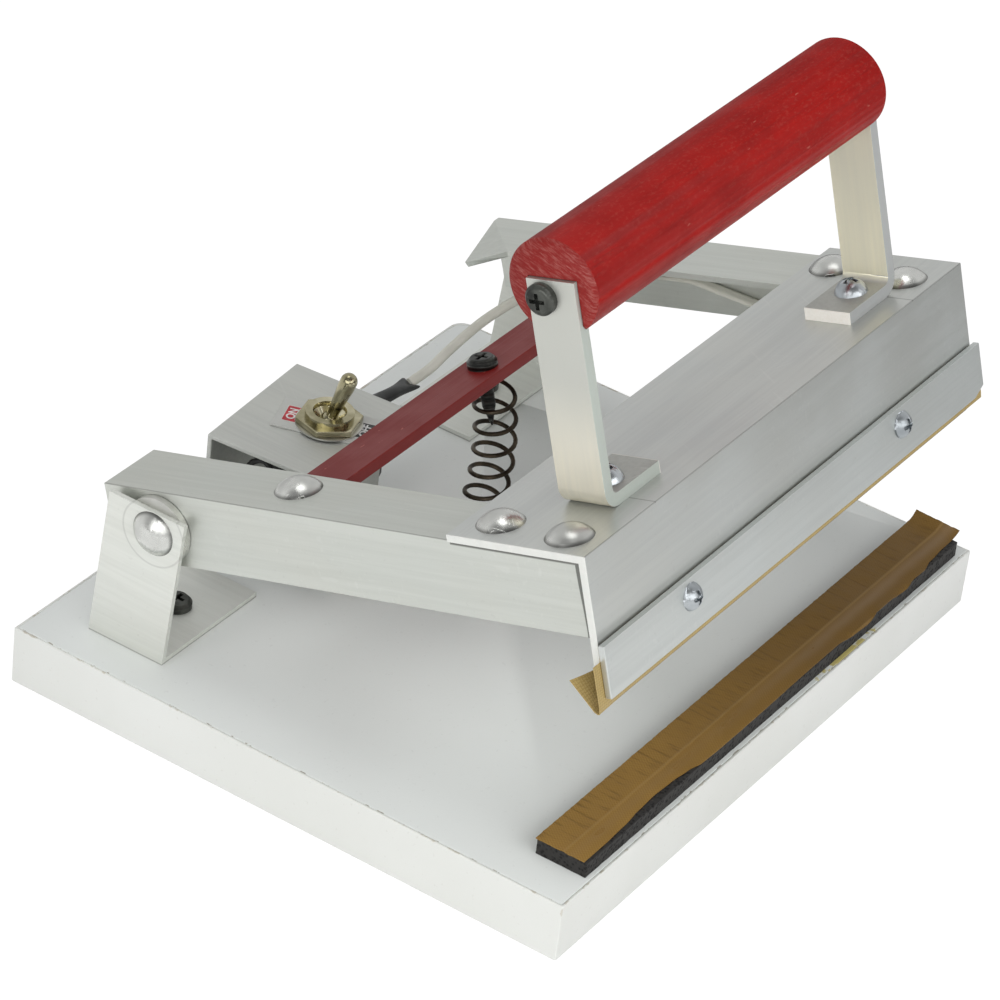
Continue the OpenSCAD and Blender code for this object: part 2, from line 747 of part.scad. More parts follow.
// The bushing, with the lever's pivot pin across its bore
module toggle_bushing() {
    pin_l = (bush_bore + bush_d) / 2;
    color([0.72, 0.69, 0.6]) at_switch() {
        difference() {
            translate([0, 0, body_top]) cylinder(d = bush_d, h = housing_t + bush_h);
            translate([0, 0, body_top - past]) cylinder(d = bush_bore, h = housing_h);
        }
        translate([-pin_l / 2, 0, lever_pivot_z]) x_rod(pin_d, pin_l);
    }
}

// A flat ring on the bushing, at the given height above the housing
module bush_ring(d, low, h, sides) {
    at_housing() translate([toggle_x, toggle_y, housing_h + low]) difference() {
        rotate(10) cylinder(d = d, h = h, $fn = sides);
        translate([0, 0, -past]) cylinder(d = bush_d, h = h + 2 * past);
    }
}

module toggle_washer() {
    color([0.7, 0.69, 0.64]) bush_ring(bush_washer_d, plate_t, bush_washer_t, $fn);
}

module toggle_nut() {
    color([0.72, 0.68, 0.58]) bush_ring(nut_af / cos(30), plate_t + bush_washer_t, bush_nut_h, 6);
}

module toggle_lever() {
    color([0.74, 0.7, 0.6]) at_switch() translate([0, 0, lever_pivot_z]) rotate([lever_lean, 0, 0])
        difference() {
            union() {
                sphere(d = ball_d);
                rotate_extrude() polygon(concat(
                    [[0, 0], [lever_neck_d / 2, 0], [lever_neck_d / 2, ball_d / 2 + 1]],
                    [[lever_tip_d / 2, lever_l - lever_tip_d]],
                    arc_points([0, lever_l - lever_tip_d / 2], lever_tip_d / 2, 0, 90, 8)
                ));
            }
            translate([-bush_d / 2, 0, 0]) x_rod(pin_d + 2 * pin_gap, bush_d);
        }
}

module on_off_plate() {
    color([0.8, 0.8, 0.79]) at_switch() translate([0, 0, housing_h]) difference() {
        translate([-plate_w / 2, -plate_l / 2, 0]) cube([plate_w, plate_l, plate_t]);
        translate([0, 0, -past]) cylinder(d = bush_d, h = plate_t + 2 * past);
    }
}

module switch_terminals() {
    color([0.75, 0.62, 0.3]) at_switch()
        for (y = [-tag_y, tag_y])
            translate([-tag_t / 2, y - tag_w / 2, body_foot - tag_l]) cube([tag_t, tag_w, tag_l]);
}

module switch_wires() {
    tag_z = body_foot - tag_l / 2;
    tag_x = tag_t / 2 + wire_core_d / 2 + 0.05;
    curl = 2 * wire_core_d;
    sleeve_wire = [
        in_housing([tag_x, -tag_y, tag_z]),
        in_housing([tag_x + curl, curl / 3 - tag_y, tag_z - curl / 2]),
        in_housing([tag_x + 3 * curl, curl - tag_y, tag_z]),
        [tag_x + 4 * curl, toggle_y, body_foot + curl / 2],
        sleeve_from - [curl, 0, wire_core_d / 4],
        sleeve_from - [end_gap, 0, 0]
    ];
    supply_wire = [
        in_housing([-tag_x, tag_y, tag_z]),
        in_housing([-tag_x - curl, tag_y + curl / 2, tag_z]),
        [grommet_x, housing_d / 2 - 2 * curl, grommet_z],
        [grommet_x, housing_d / 2 - curl, grommet_z],
        [grommet_x, housing_d / 2, grommet_z]
    ];
    color([0.1, 0.1, 0.1]) at_housing() {
        tube(smooth(sleeve_wire, 4), wire_core_d, 8);
        tube(smooth(supply_wire, 4), wire_core_d, 8);
    }
}

module lead_sleeve() {
    color([0.14, 0.15, 0.15]) at_housing()
        tube(smooth([sleeve_from, (sleeve_from + sleeve_to) / 2, sleeve_to], 4), sleeve_d, 10);
}

module inlet_grommet() {
    lip_r = grommet_d / 2;
    neck_r = lip_r - grommet_lip;
    color([0.1, 0.1, 0.1]) at_housing()
        translate([grommet_x, housing_d / 2 - housing_t / 2, grommet_z]) rotate([90, 0, 0])
            rotate_extrude() polygon([
                [wire_core_d / 2, -housing_t / 2 - grommet_lip], [lip_r, -housing_t / 2 - grommet_lip],
                [lip_r, -housing_t / 2], [neck_r, -housing_t / 2], [neck_r, housing_t / 2],
                [lip_r, housing_t / 2], [lip_r, housing_t / 2 + grommet_lip],
                [wire_core_d / 2, housing_t / 2 + grommet_lip]
            ]);
}

module heater_lead() {
    color([0.82, 0.82, 0.78]) tube(smooth(lead_route, 3), lead_d, 8);
}

module foam_strip() {
    color([0.16, 0.15, 0.15])
        translate([frame_x - foam_l / 2, foam_y - foam_w / 2, board_t]) cube([foam_l, foam_w, foam_t]);
}

module pad_tape() {
    color([0.5, 0.36, 0.17])
        translate([frame_x - foam_l / 2, foam_y - foam_w / 2, board_t + foam_t])
            cube([foam_l + pad_tape_over, foam_w, pad_tape_t]);
}

module return_spring() {
    color([0.26, 0.23, 0.19]) tube(coil, wire_d, 6);
}

module spring_seat_screw() {
    color([0.2, 0.21, 0.22]) board_screw_places() {
        union();
        union();
        pan_screw(small_head_d, small_head_h, small_shank_d, wood_screw_l, 3);
    }
}

// Places of one arm's rivets, for an arm whose outer face is at zero and that reaches towards +X
module arm_rivet_places(rivets) {
    for (r = rivets)
        translate([r[0], front_y + r[1], angle_z]) children(0);
    translate([bar_rivet_in, -bar_reach, arm_top]) children(1);
}

module rivet_holes(rivets) {
    arm_rivet_places(rivets) {
        translate([0, 0, -angle_front]) cylinder(d = rivet_d, h = angle_front + past);
        translate([0, 0, -arm_leg]) cylinder(d = rivet_d, h = arm_leg + past);
    }
}

// An arm in the level frame, with its outer face at zero and its flange towards +X
module arm(rivets) {
    from = inner_y + arm_gap;
    length = arm_tail - from;
    difference() {
        union() {
            translate([0, from, arm_top - arm_leg]) cube([arm_t, length, arm_leg]);
            translate([0, from, arm_top - arm_t]) cube([arm_flange, length, arm_t]);
        }
        translate([-past, 0, 0]) x_rod(rivet_d + 2 * pivot_gap, arm_t + 2 * past);
        rivet_holes(rivets);
    }
}

module left_arm() {
    color([0.72, 0.73, 0.71]) lifted() translate([frame_left, 0, 0]) arm(left_rivets);
}

// The corner of a flange that is bent down at its tail, as a flat triangle
module ear(h) {
    linear_extrude(h) polygon([[0, 0], [0, -ear_l], [-ear_w, 0]]);
}

module right_arm() {
    fold = atan2(ear_w, ear_l);
    color([0.72, 0.73, 0.71]) lifted() translate([frame_right, 0, 0]) mirror([1, 0, 0]) {
        difference() {
            arm(right_rivets);
            translate([arm_flange, arm_tail, arm_top - arm_t - past]) ear(arm_t + 2 * past);
        }
        translate([arm_flange - ear_w, arm_tail, arm_top]) rotate(fold) rotate([0, ear_bend, 0]) rotate(-fold)
            translate([ear_w, 0, -arm_t]) ear(arm_t);
    }
}

module front_angle() {
    length = frame_w + 2 * angle_overhang;
    color([0.7, 0.71, 0.69]) lifted() difference() {
        translate([frame_left - angle_overhang, 0, 0]) {
            translate([0, front_y, arm_top]) cube([length, angle_top, angle_t]);
            translate([0, front_y, edge_z]) cube([length, angle_t, angle_front]);
        }
        translate([frame_left, 0, 0]) rivet_holes(left_rivets);
        translate([frame_right, 0, 0]) mirror([1, 0, 0]) rivet_holes(right_rivets);
        strap_screw_places() translate([0, 0, -strap_t - angle_t - past])
            cylinder(d = strap_shank_d, h = angle_t + strap_t + 2 * past);
        clamp_places() translate([0, 0, -2 * angle_t - strip_t])
            cylinder(d = clamp_shank_d, h = 3 * angle_t + strip_t);
    }
}

module frame_rivets() {
    color([0.8, 0.8, 0.78]) lifted() {
        translate([frame_left, 0, 0]) arm_rivet_places(left_rivets) {
            rivet(angle_t + arm_t);
            union();
        }
        translate([frame_right, 0, 0]) mirror([1, 0, 0]) arm_rivet_places(right_rivets) {
            rivet(angle_t + arm_t);
            union();
        }
    }
}

module spring_bar() {
    from = frame_left + arm_t + bar_gap;
    to = frame_right - arm_t - bar_gap;
    color([0.5, 0.13, 0.12]) lifted() difference() {
        translate([from, -bar_reach - bar_w / 2, bar_z]) cube([to - from, bar_w, bar_t]);
        for (x = [frame_left + bar_rivet_in, frame_right - bar_rivet_in])
            translate([x, -bar_reach, bar_z - past]) cylinder(d = rivet_d, h = bar_t + 2 * past);
        translate([spring_x, -bar_reach, bar_z - past]) cylinder(d = black_shank_d, h = bar_t + 2 * past);
    }
}

module spring_bar_rivets() {
    color([0.8, 0.8, 0.78]) lifted()
        for (x = [frame_left + bar_rivet_in, frame_right - bar_rivet_in])
            translate([x, -bar_reach, arm_top]) rivet(arm_t + bar_t);
}

module spring_bar_screw() {
    color([0.2, 0.21, 0.22]) lifted() translate([spring_x, -bar_reach, bar_z + bar_t])
        pan_screw(black_head_d, black_head_h, black_shank_d, bar_t + bar_screw_l, 5);
}

// A strap with its outer face at zero and its foot towards +X
module strap(screw_in) {
    height = grip_h + strap_over;
    bend = strap_bend + strap_t;
    difference() {
        translate([0, strap_y + strap_w / 2, angle_z]) rotate([90, 0, 0]) linear_extrude(strap_w)
            polygon(concat(
                [[strap_foot, 0]], arc_points([bend, bend], bend, 270, 180, 6),
                [[0, height], [strap_t, height]], arc_points([bend, bend], strap_bend, 180, 270, 6),
                [[strap_foot, strap_t]]
            ));
        translate([-past, strap_y + grip_screw_back, grip_z - grip_screw_down])
            x_rod(black_shank_d, strap_t + 2 * past);
        translate([screw_in, strap_y, angle_z - past]) cylinder(d = strap_shank_d, h = strap_t + 2 * past);
    }
}

module left_handle_strap() {
    color([0.76, 0.77, 0.74]) lifted() translate([strap_left, 0, 0]) strap(left_strap_screw);
}

module right_handle_strap() {
    color([0.76, 0.77, 0.74]) lifted() translate([strap_right, 0, 0]) mirror([1, 0, 0])
        strap(right_strap_screw);
}

// Places of the strap screws, on the feet's top faces
module strap_screw_places() {
    for (x = [strap_left + left_strap_screw, strap_right - right_strap_screw])
        translate([x, strap_y, angle_z + strap_t]) children();
}

module strap_screws() {
    color([0.72, 0.74, 0.76]) lifted() strap_screw_places()
        dome_screw(strap_head_d, strap_head_h, strap_shank_d,
            strap_t + angle_t + strap_shank_d * nut_ratio + past);
}

module strap_nuts() {
    color([0.72, 0.74, 0.76]) lifted() strap_screw_places()
        translate([0, 0, -strap_t - angle_t]) hex_nut(strap_shank_d);
}

// The grip, with a seat for a strap cut into each end
module handle_grip() {
    rim = 0.8;
    seat_w = strap_w + 2 * seat_gap;
    seat_h = grip_d + strap_over + seat_gap;
    color([0.62, 0.13, 0.12]) lifted()
        translate([frame_x + grip_x - grip_l / 2, strap_y + grip_back, grip_z]) difference() {
            rotate([0, 90, 0]) rotate_extrude() polygon([
                [0, 0], [grip_d / 2 - rim, 0], [grip_d / 2, rim],
                [grip_d / 2, grip_l - rim], [grip_d / 2 - rim, grip_l], [0, grip_l]
            ]);
            for (x = [-past, grip_l - strap_let])
                translate([x, -seat_w / 2 - grip_back, -grip_d]) cube([strap_let + past, seat_w, seat_h]);
            for (x = [-past, grip_l - strap_let - grip_screw_l])
                translate([x, grip_screw_back - grip_back, -grip_screw_down])
                    x_rod(black_shank_d, strap_let + grip_screw_l + past);
        }
}

module handle_screws() {
    color([0.2, 0.21, 0.22]) lifted() translate([0, strap_y + grip_screw_back, grip_z - grip_screw_down]) {
        translate([strap_left, 0, 0]) rotate([0, -90, 0])
            pan_screw(black_head_d, black_head_h, black_shank_d, strap_t + grip_screw_l, 4);
        translate([strap_right, 0, 0]) rotate([0, 90, 0])
            pan_screw(black_head_d, black_head_h, black_shank_d, strap_t + grip_screw_l, 4);
    }
}

// Places of the clamp screws, on the strip's front face, with +Z towards the front
module clamp_places() {
    for (x = clamp_xs)
        translate([x, front_y - insulation_t - tape_t - strip_t, clamp_z]) rotate([90, 0, 0]) children();
}

module clamp_strip() {
    low = strip_z;
    high = strip_z + strip_h;
    clip_h = strip_clip * 0.4;
    color([0.7, 0.71, 0.69]) lifted() difference() {
        translate([frame_x, front_y - insulation_t - tape_t, 0]) rotate([90, 0, 0]) linear_extrude(strip_t)
            polygon([
                [-strip_l / 2, low], [strip_l / 2 - strip_clip, low], [strip_l / 2, low + clip_h],
                [strip_l / 2, high], [-strip_l / 2, high]
            ]);
        clamp_places() translate([0, 0, -strip_t - past]) cylinder(d = clamp_shank_d, h = strip_t + 2 * past);
    }
}

module clamp_screws() {
    grip = strip_t + tape_t + insulation_t + angle_t;
    color([0.74, 0.77, 0.78]) lifted() clamp_places()
        dome_screw(clamp_head_d, clamp_head_h, clamp_shank_d, grip + clamp_shank_d * nut_ratio + past);
}

module clamp_nuts() {
    color([0.74, 0.77, 0.78]) lifted() clamp_places()
        translate([0, 0, -strip_t - tape_t - insulation_t - angle_t]) hex_nut(clamp_shank_d);
}

// A tape folded round the jaw's edge: its inner face stands off the angle in front, below and behind
module edge_fold(length, front, below, behind, t) {
    difference() {
        translate([frame_x - length / 2, 0, 0]) rotate([90, 0, 90]) linear_extrude(length) polygon([
            [front_y - front, tape_top_z], [front_y - front - t, tape_top_z],
            [front_y - front - t, edge_z - below - t], [inner_y + behind + t, edge_z - below - t],
            [inner_y + behind + t, tape_rear_z], [inner_y + behind, tape_rear_z],
            [inner_y + behind, edge_z - below], [front_y - front, edge_z - below]
        ]);
        clamp_places() translate([0, 0, -strip_t - tape_t - insulation_t - past])
            cylinder(d = clamp_shank_d, h = strip_t + tape_t + insulation_t + past);
    }
}

module edge_insulation() {
    color([0.7, 0.6, 0.4]) lifted() edge_fold(element_l + 2 * crimp_d, 0, 0, 0, insulation_t);
}

module heating_element() {
    middle = (front_y + inner_y) / 2;
    color([0.6, 0.6, 0.58]) lifted() {
        translate([frame_x - element_l / 2 - crimp_d / 2, middle - element_w / 2, element_z])
            cube([element_l + crimp_d, element_w, element_t]);
        for (x = crimp_xs)
            translate([x - crimp_d / 2, inner_y - element_t, element_z])
                cube([crimp_d, insulation_t + 2 * element_t, element_t]);
        for (x = crimp_xs)
            translate([x - crimp_d / 2, inner_y + insulation_t, element_z])
                cube([crimp_d, element_t, crimp_z + crimp_h / 2 - element_z]);
    }
}

module element_tape() {
    under = insulation_t + element_t;
    color([0.76, 0.62, 0.36]) lifted()
        edge_fold(tape_l, insulation_t, under, under, tape_t);
}

module element_crimps() {
    color([0.78, 0.66, 0.34]) lifted()
        for (x = crimp_xs)
            translate([x, crimp_y, crimp_z]) cylinder(d = crimp_d, h = crimp_h);
}

module arm_lead() {
    color([0.82, 0.82, 0.78]) lifted() tube(smooth(arm_route, 3), lead_d, 8);
}

module element_wires() {
    color([0.8, 0.78, 0.7]) lifted() {
        tube(smooth(right_core, 4), wire_core_d, 8);
        tube(smooth(left_core, 4), wire_core_d, 8);
    }
}

baseboard();
edge_banding();
left_hinge_bracket();
right_hinge_bracket();
bracket_screws();
left_pivot_rivet();
right_pivot_rivet();
pivot_washers();
switch_housing();
housing_screws();
toggle_body();
toggle_bushing();
toggle_washer();
toggle_nut();
toggle_lever();
on_off_plate();
switch_terminals();
switch_wires();
lead_sleeve();
inlet_grommet();
heater_lead();
foam_strip();
pad_tape();
return_spring();
spring_seat_screw();
left_arm();
right_arm();
front_angle();
frame_rivets();
spring_bar();
spring_bar_rivets();
spring_bar_screw();
left_handle_strap();
right_handle_strap();
strap_screws();
strap_nuts();
handle_grip();
handle_screws();
clamp_strip();
clamp_screws();
clamp_nuts();
edge_insulation();
heating_element();
element_tape();
element_crimps();
arm_lead();
element_wires();
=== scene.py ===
"""Tabletop heat sealer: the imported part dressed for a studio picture. Metres, in the part's own frame."""
import json
import math
from functools import partialmethod

import bmesh
import bpy
from mathutils import Matrix, Vector, noise


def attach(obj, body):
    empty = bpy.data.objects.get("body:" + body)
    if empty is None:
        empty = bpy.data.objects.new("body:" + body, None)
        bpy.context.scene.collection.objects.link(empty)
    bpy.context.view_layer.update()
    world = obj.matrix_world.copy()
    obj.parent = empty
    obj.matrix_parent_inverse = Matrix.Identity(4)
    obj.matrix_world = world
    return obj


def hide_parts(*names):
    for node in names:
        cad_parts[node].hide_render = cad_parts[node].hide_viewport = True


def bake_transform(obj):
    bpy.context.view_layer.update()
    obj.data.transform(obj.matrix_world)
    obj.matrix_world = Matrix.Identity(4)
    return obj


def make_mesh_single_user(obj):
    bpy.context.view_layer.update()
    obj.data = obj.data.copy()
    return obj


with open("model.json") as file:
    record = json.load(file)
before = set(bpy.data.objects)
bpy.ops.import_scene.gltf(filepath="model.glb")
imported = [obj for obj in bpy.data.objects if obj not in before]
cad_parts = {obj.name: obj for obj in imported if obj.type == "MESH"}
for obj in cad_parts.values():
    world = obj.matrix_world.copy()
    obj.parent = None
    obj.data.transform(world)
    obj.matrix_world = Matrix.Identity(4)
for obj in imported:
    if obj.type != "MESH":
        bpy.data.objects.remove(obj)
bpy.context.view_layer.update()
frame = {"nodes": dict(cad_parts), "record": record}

scene = bpy.context.scene
ops, act = bpy.ops.mesh, bpy.ops.object
scene.view_settings.view_transform = "Standard"

node_body = {n: b for b, names in frame["record"]["behaviour"]["bodies"].items() for n in names}


# ---- places

MM = 0.001
JAW_TURN = 17  # degrees that the jaw frame stands open
OPEN_ANGLE = math.radians(JAW_TURN)
PIVOT = Vector((0.0, 46.3, 48.9))
BOARD_TOP = 15
SWITCH_AT, SWITCH_TURN = Vector((-9.5139, 47.3357)), math.radians(19)
HOUSING_AT, HOUSING_TURN = Vector((-11.5, 48.5)), math.radians(4)


def at(x, y, z):
    """A point of the part, given in millimetres."""
    return Vector((x, y, z)) * MM


def on_jaw(x, reach, up):
    """A point of the level jaw frame in millimetres: across, and forward and up from the pivot."""
    c, s = math.cos(OPEN_ANGLE), math.sin(OPEN_ANGLE)
    return Vector((x, PIVOT.y - reach * c + up * s, PIVOT.z + reach * s + up * c)) * MM


def turned(middle, angle, x, y, z):
    """A point in axes turned about an upright line, in millimetres."""
    c, s = math.cos(angle), math.sin(angle)
    return Vector((middle.x + x * c - y * s, middle.y + x * s + y * c, z))


def on_switch(x, y, z):
    """A point in the switch's own axes, in millimetres above the board's underside."""
    return turned(SWITCH_AT, SWITCH_TURN, x, y, z) * MM


def in_housing(x, y, z):
    """A point in the switch housing's axes above the board, still in millimetres."""
    return turned(HOUSING_AT, HOUSING_TURN, x, y, BOARD_TOP + z)


def wobble(x, y=0.0, z=0.0):
    """Smooth noise from -1 to 1 that is the same at every run."""
    return noise.noise(Vector((x, y, z)))


def smooth_run(points, steps):
    """A soft line through given points."""
    out = []
    last = len(points) - 1
    for i in range(last):
        a, b = points[max(i - 1, 0)], points[i]
        c, d = points[i + 1], points[min(i + 2, last)]
        for k in range(steps):
            t = k / steps
            out.append(0.5 * (2 * b + (c - a) * t + (2 * a - 5 * b + 4 * c - d) * t * t
                              + (3 * b - a - 3 * c + d) * t ** 3))
    out.append(points[last].copy())
    return out


# ---- camera

def stand_camera():
    """The photograph's camera, fitted to the board's corners."""
    data = bpy.data.cameras.new("photo_camera")
    data.sensor_width = 36.0
    data.lens = 168.79
    data.clip_end = 30.0
    camera = bpy.data.objects.new("photo_camera", data)
    scene.collection.objects.link(camera)
    eye = at(-773.2, -447.3, 645.7)
    aim = at(5.4, 7.8, 33.5)
    look = (aim - eye).to_track_quat("-Z", "Y").to_matrix()
    roll = Matrix.Rotation(math.radians(7.01), 3, "Z")
    camera.location = eye
    camera.rotation_euler = (look @ roll).to_euler()
    scene.camera = camera


stand_camera()


# ---- modelling by hand

def only(obj):
    """Leaves just this object selected and active."""
    if bpy.context.object and bpy.context.object.mode != "OBJECT":
        act.mode_set(mode="OBJECT")
    act.select_all(action="DESELECT")
    bpy.context.view_layer.objects.active = obj
    obj.select_set(True)


def editing(obj):
    only(obj)
    act.mode_set(mode="EDIT")
    return bmesh.from_edit_mesh(obj.data)


def done(obj):
    act.mode_set(mode="OBJECT")
    return obj


def apply_all(obj):
    only(obj)
    for modifier in list(obj.modifiers):
        act.modifier_apply(modifier=modifier.name)


def thicken(obj, thick, offset):
    """Gives a sheet its thickness in millimetres."""
    wall = obj.modifiers.new("thickness", "SOLIDIFY")
    wall.thickness = thick * MM
    wall.offset = offset
    apply_all(obj)


def smooth(obj, degrees):
    only(obj)
    act.shade_smooth_by_angle(angle=math.radians(degrees))


def settle(obj):
    """Puts the object's place, turn and size into its mesh."""
    only(obj)
    act.transform_apply(location=True, rotation=True, scale=True)


def fresh(name, add, **shape):
    """A new basic shape under its own name."""
    add(**shape)
    obj = bpy.context.object
    obj.name = name
    return obj


def box(name, size, middle, turn=0.0):
    """A block of a size in millimetres, turned about the upright line."""
    obj = fresh(name, ops.primitive_cube_add, size=1.0)
    obj.scale = [s * MM for s in size]
    obj.rotation_euler = (0, 0, turn)
    obj.location = middle
    settle(obj)
    return obj


def paint(obj, material):
    obj.data.materials.clear()
    obj.data.materials.append(material)


def go_with(obj, node):
    """Moves with a CAD node's body."""
    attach(obj, node_body[node])


def stand_for(obj, node):
    """Takes the place of a CAD node."""
    go_with(obj, node)
    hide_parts(node)


def select_all():
    ops.select_all(action="SELECT")


def select_none(kind):
    """Selects nothing, and goes on with faces or edges."""
    ops.select_mode(type=kind)
    ops.select_all(action="DESELECT")


def pick_edges(obj, wanted):
    """Selects just the wanted edges, and counts them."""
    select_none("EDGE")
    mesh = bmesh.from_edit_mesh(obj.data)
    chosen = [e for e in mesh.edges if wanted(e)]
    for e in chosen:
        e.select_set(True)
    mesh.select_flush(False)
    return len(chosen)


def sharp(degrees, length):
    """A test for edges that turn by more and are longer than this."""
    def wanted(e):
        turns = e.is_manifold and e.calc_face_angle(0.0) > math.radians(degrees)
        return turns and e.calc_length() > length * MM
    return wanted


def mid_height(e):
    return sum(v.co.z for v in e.verts) / 2


def bevel(width, segments, clamp=False):
    ops.bevel(offset=width * MM, segments=segments, profile=0.5, affect="EDGES", clamp_overlap=clamp)


def face_outwards():
    select_all()
    ops.normals_make_consistent(inside=False)


BOARD_PIECES = ("baseboard", "edge_banding")
BOARD_CORNER = (89, 75)
HAIR = 0.01 * MM


def at_rear_corner(e):
    """Whether an edge stands upright at the board's rear right corner."""
    a, b = (v.co / MM for v in e.verts)
    off = [abs(p[k] - BOARD_CORNER[k]) for p in (a, b) for k in (0, 1)]
    return abs(a.z - b.z) > 5 and max(off) < 1.2


def cap_ring(obj):
    """Makes a ring's flat top and foot again, between its two outlines."""
    select_none("FACE")
    levels = set()
    for f in bmesh.from_edit_mesh(obj.data).faces:
        heights = [v.co.z for v in f.verts]
        if max(heights) - min(heights) < HAIR:
            f.select_set(True)
            levels.add(round(heights[0], 5))
    ops.delete(type="ONLY_FACE")
    ops.select_mode(type="EDGE")
    select_all()
    ops.delete_loose(use_verts=False, use_edges=True, use_faces=False)
    for level in sorted(levels):
        pick_edges(obj, lambda e: e.is_boundary and abs(mid_height(e) - level) < HAIR)
        ops.bridge_edge_loops()
    face_outwards()


def dress(node, material, soften, even):
    """A copy of a CAD piece with its long sharp edges softened and its rounds smoothed."""
    source = frame["nodes"][node]
    obj = source.copy()
    obj.data = source.data.copy()
    obj.animation_data_clear()
    scene.collection.objects.link(obj)
    obj.name = node + "_finished"
    obj.parent = None
    obj.matrix_world = Matrix.Identity(4)
    obj.hide_render = False
    for key in [k for k in obj.keys() if k.startswith("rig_")]:
        del obj[key]
    editing(obj)
    ops.select_mode(type="EDGE")
    select_all()
    ops.remove_doubles(threshold=0.000002)
    ops.dissolve_limited(angle_limit=math.radians(0.6))
    if node in BOARD_PIECES:
        pick_edges(obj, at_rear_corner)
        bevel(4.0, 6)
    if node == "edge_banding":
        cap_ring(obj)
    if soften and pick_edges(obj, sharp(40, 1.0)):
        bevel(soften, 3, clamp=True)
    done(obj)
    smooth(obj, 35)
    if even:
        flats = obj.modifiers.new("even_flats", "WEIGHTED_NORMAL")
        flats.keep_sharp = True
        apply_all(obj)
    paint(obj, material)
    stand_for(obj, node)
    return obj


def round_rim(obj, middle, radius, width):
    """Rounds the outer rim at both ends of a bar that lies along X."""
    mesh = editing(obj)
    places = [v.co.x for v in mesh.verts]
    ends = min(places), max(places)

    def on_rim(v):
        away = Vector((v.co.y, v.co.z)) / MM - Vector(middle)
        return min(abs(v.co.x - e) for e in ends) < 0.05 * MM and away.length > radius - 0.1

    pick_edges(obj, lambda e: all(on_rim(v) for v in e.verts))
    bevel(width, 5)
    done(obj)
    smooth(obj, 40)


def own_mesh(name, points, faces):
    """A new piece from points and faces, for cords and sheets."""
    mesh = bpy.data.meshes.new(name)
    mesh.from_pydata([tuple(p) for p in points], [], faces)
    mesh.update()
    obj = bpy.data.objects.new(name, mesh)
    scene.collection.objects.link(obj)
    return obj


def skin_rings(name, rings):
    """Joins rings of equal length into one closed skin."""
    n = len(rings[0])
    points = [p for r in rings for p in r]
    faces = []
    for i in range(len(rings) - 1):
        for k in range(n):
            a, b = i * n + k, i * n + (k + 1) % n
            faces.append((a, b, b + n, a + n))
    faces.append(tuple(reversed(range(n))))
    faces.append(tuple(range(len(points) - n, len(points))))
    obj = own_mesh(name, points, faces)
    editing(obj)
    face_outwards()
    return done(obj)


def run_frames(run, hint):
    """Side and up at each point of a run, with up as near as can be to the hint."""
    out = []
    last = len(run) - 1
    for i in range(len(run)):
        heading = (run[min(i + 1, last)] - run[max(i - 1, 0)]).normalized()
        side = heading.cross(hint).normalized()
        out.append((side, side.cross(heading)))
    return out


# ---- material helpers

def lin(colour):
    """A screen colour of three numbers up to 255 as a linear one. All else stays as it is."""
    if not isinstance(colour, tuple) or len(colour) != 3:
        return colour
    shares = (c / 255 for c in colour)
    return (*(c / 12.92 if c <= 0.04045 else ((c + 0.055) / 1.055) ** 2.4 for c in shares), 1.0)


class Nodes:
    """A node tree, with short names for the sums that the looks are made of."""

    def __init__(self, tree):
        self.tree = tree

    def feed(self, socket, value):
        if isinstance(value, bpy.types.NodeSocket):
            self.tree.links.new(value, socket)
        else:
            socket.default_value = value

    def put(self, kind, ins=None, **props):
        node = self.tree.nodes.new("ShaderNode" + kind)
        for key, value in props.items():
            setattr(node, key, value)
        for key, value in (ins or {}).items():
            self.feed(node.inputs[key], value)
        return node.outputs

    def use(self, group, vector, **values):
        return self.put("Group", {"Vector": vector, **values}, node_tree=group)

    def calc(self, operation, a, b=0.0, clamp=False):
        return self.put("Math", {0: a, 1: b}, operation=operation, use_clamp=clamp)[0]

    times = partialmethod(calc, "MULTIPLY")
    plus = partialmethod(calc, "ADD")
    minus = partialmethod(calc, "SUBTRACT")
    larger = partialmethod(calc, "MAXIMUM")
    smaller = partialmethod(calc, "MINIMUM")
    size = partialmethod(calc, "ABSOLUTE")
    sine = partialmethod(calc, "SINE")

    def sum_of(self, a, a_share, b, b_share):
        return self.plus(self.times(a, a_share), self.times(b, b_share))

    def off(self, value, place):
        """How far a value lies from a place."""
        return self.size(self.minus(value, place))

    def span(self, value, low, high, to_low=0.0, to_high=1.0):
        """A value between two limits, eased to run between two others."""
        ins = {"Value": value, "From Min": low, "From Max": high, "To Min": to_low, "To Max": to_high}
        return self.put("MapRange", ins, interpolation_type="SMOOTHSTEP")["Result"]

    def fade(self, value, low, high):
        """1 below the low limit and 0 above the high one."""
        return self.span(value, low, high, 1.0, 0.0)

    def mix(self, share, a, b):
        return self.put("Mix", {0: share, 6: lin(a), 7: lin(b)}, data_type="RGBA")[2]

    def place(self):
        return self.put("TexCoord")["Object"]

    def mapped(self, vector, scale=(1, 1, 1), turn=(0, 0, 0), shift=(0, 0, 0)):
        turn = tuple(math.radians(a) for a in turn)
        return self.put("Mapping", {"Vector": vector, "Scale": scale, "Rotation": turn, "Location": shift})[0]

    def split(self, vector):
        return self.put("SeparateXYZ", {0: vector})

    def dot(self, vector, way):
        return self.put("VectorMath", {0: vector, 1: way}, operation="DOT_PRODUCT")["Value"]

    def noise(self, vector, scale, detail=3.0, rough=0.5):
        ins = {"Vector": vector, "Scale": scale, "Detail": detail, "Roughness": rough}
        return self.put("TexNoise", ins)[0]

    def drawn_out(self, vector, scale, detail=3.0, rough=0.5):
        """Noise that is finer along some axes than along others."""
        return self.noise(self.mapped(vector, scale), 1.0, detail, rough)

    def bump(self, height, strength, distance):
        return self.put("Bump", {"Height": height, "Strength": strength, "Distance": distance})[0]


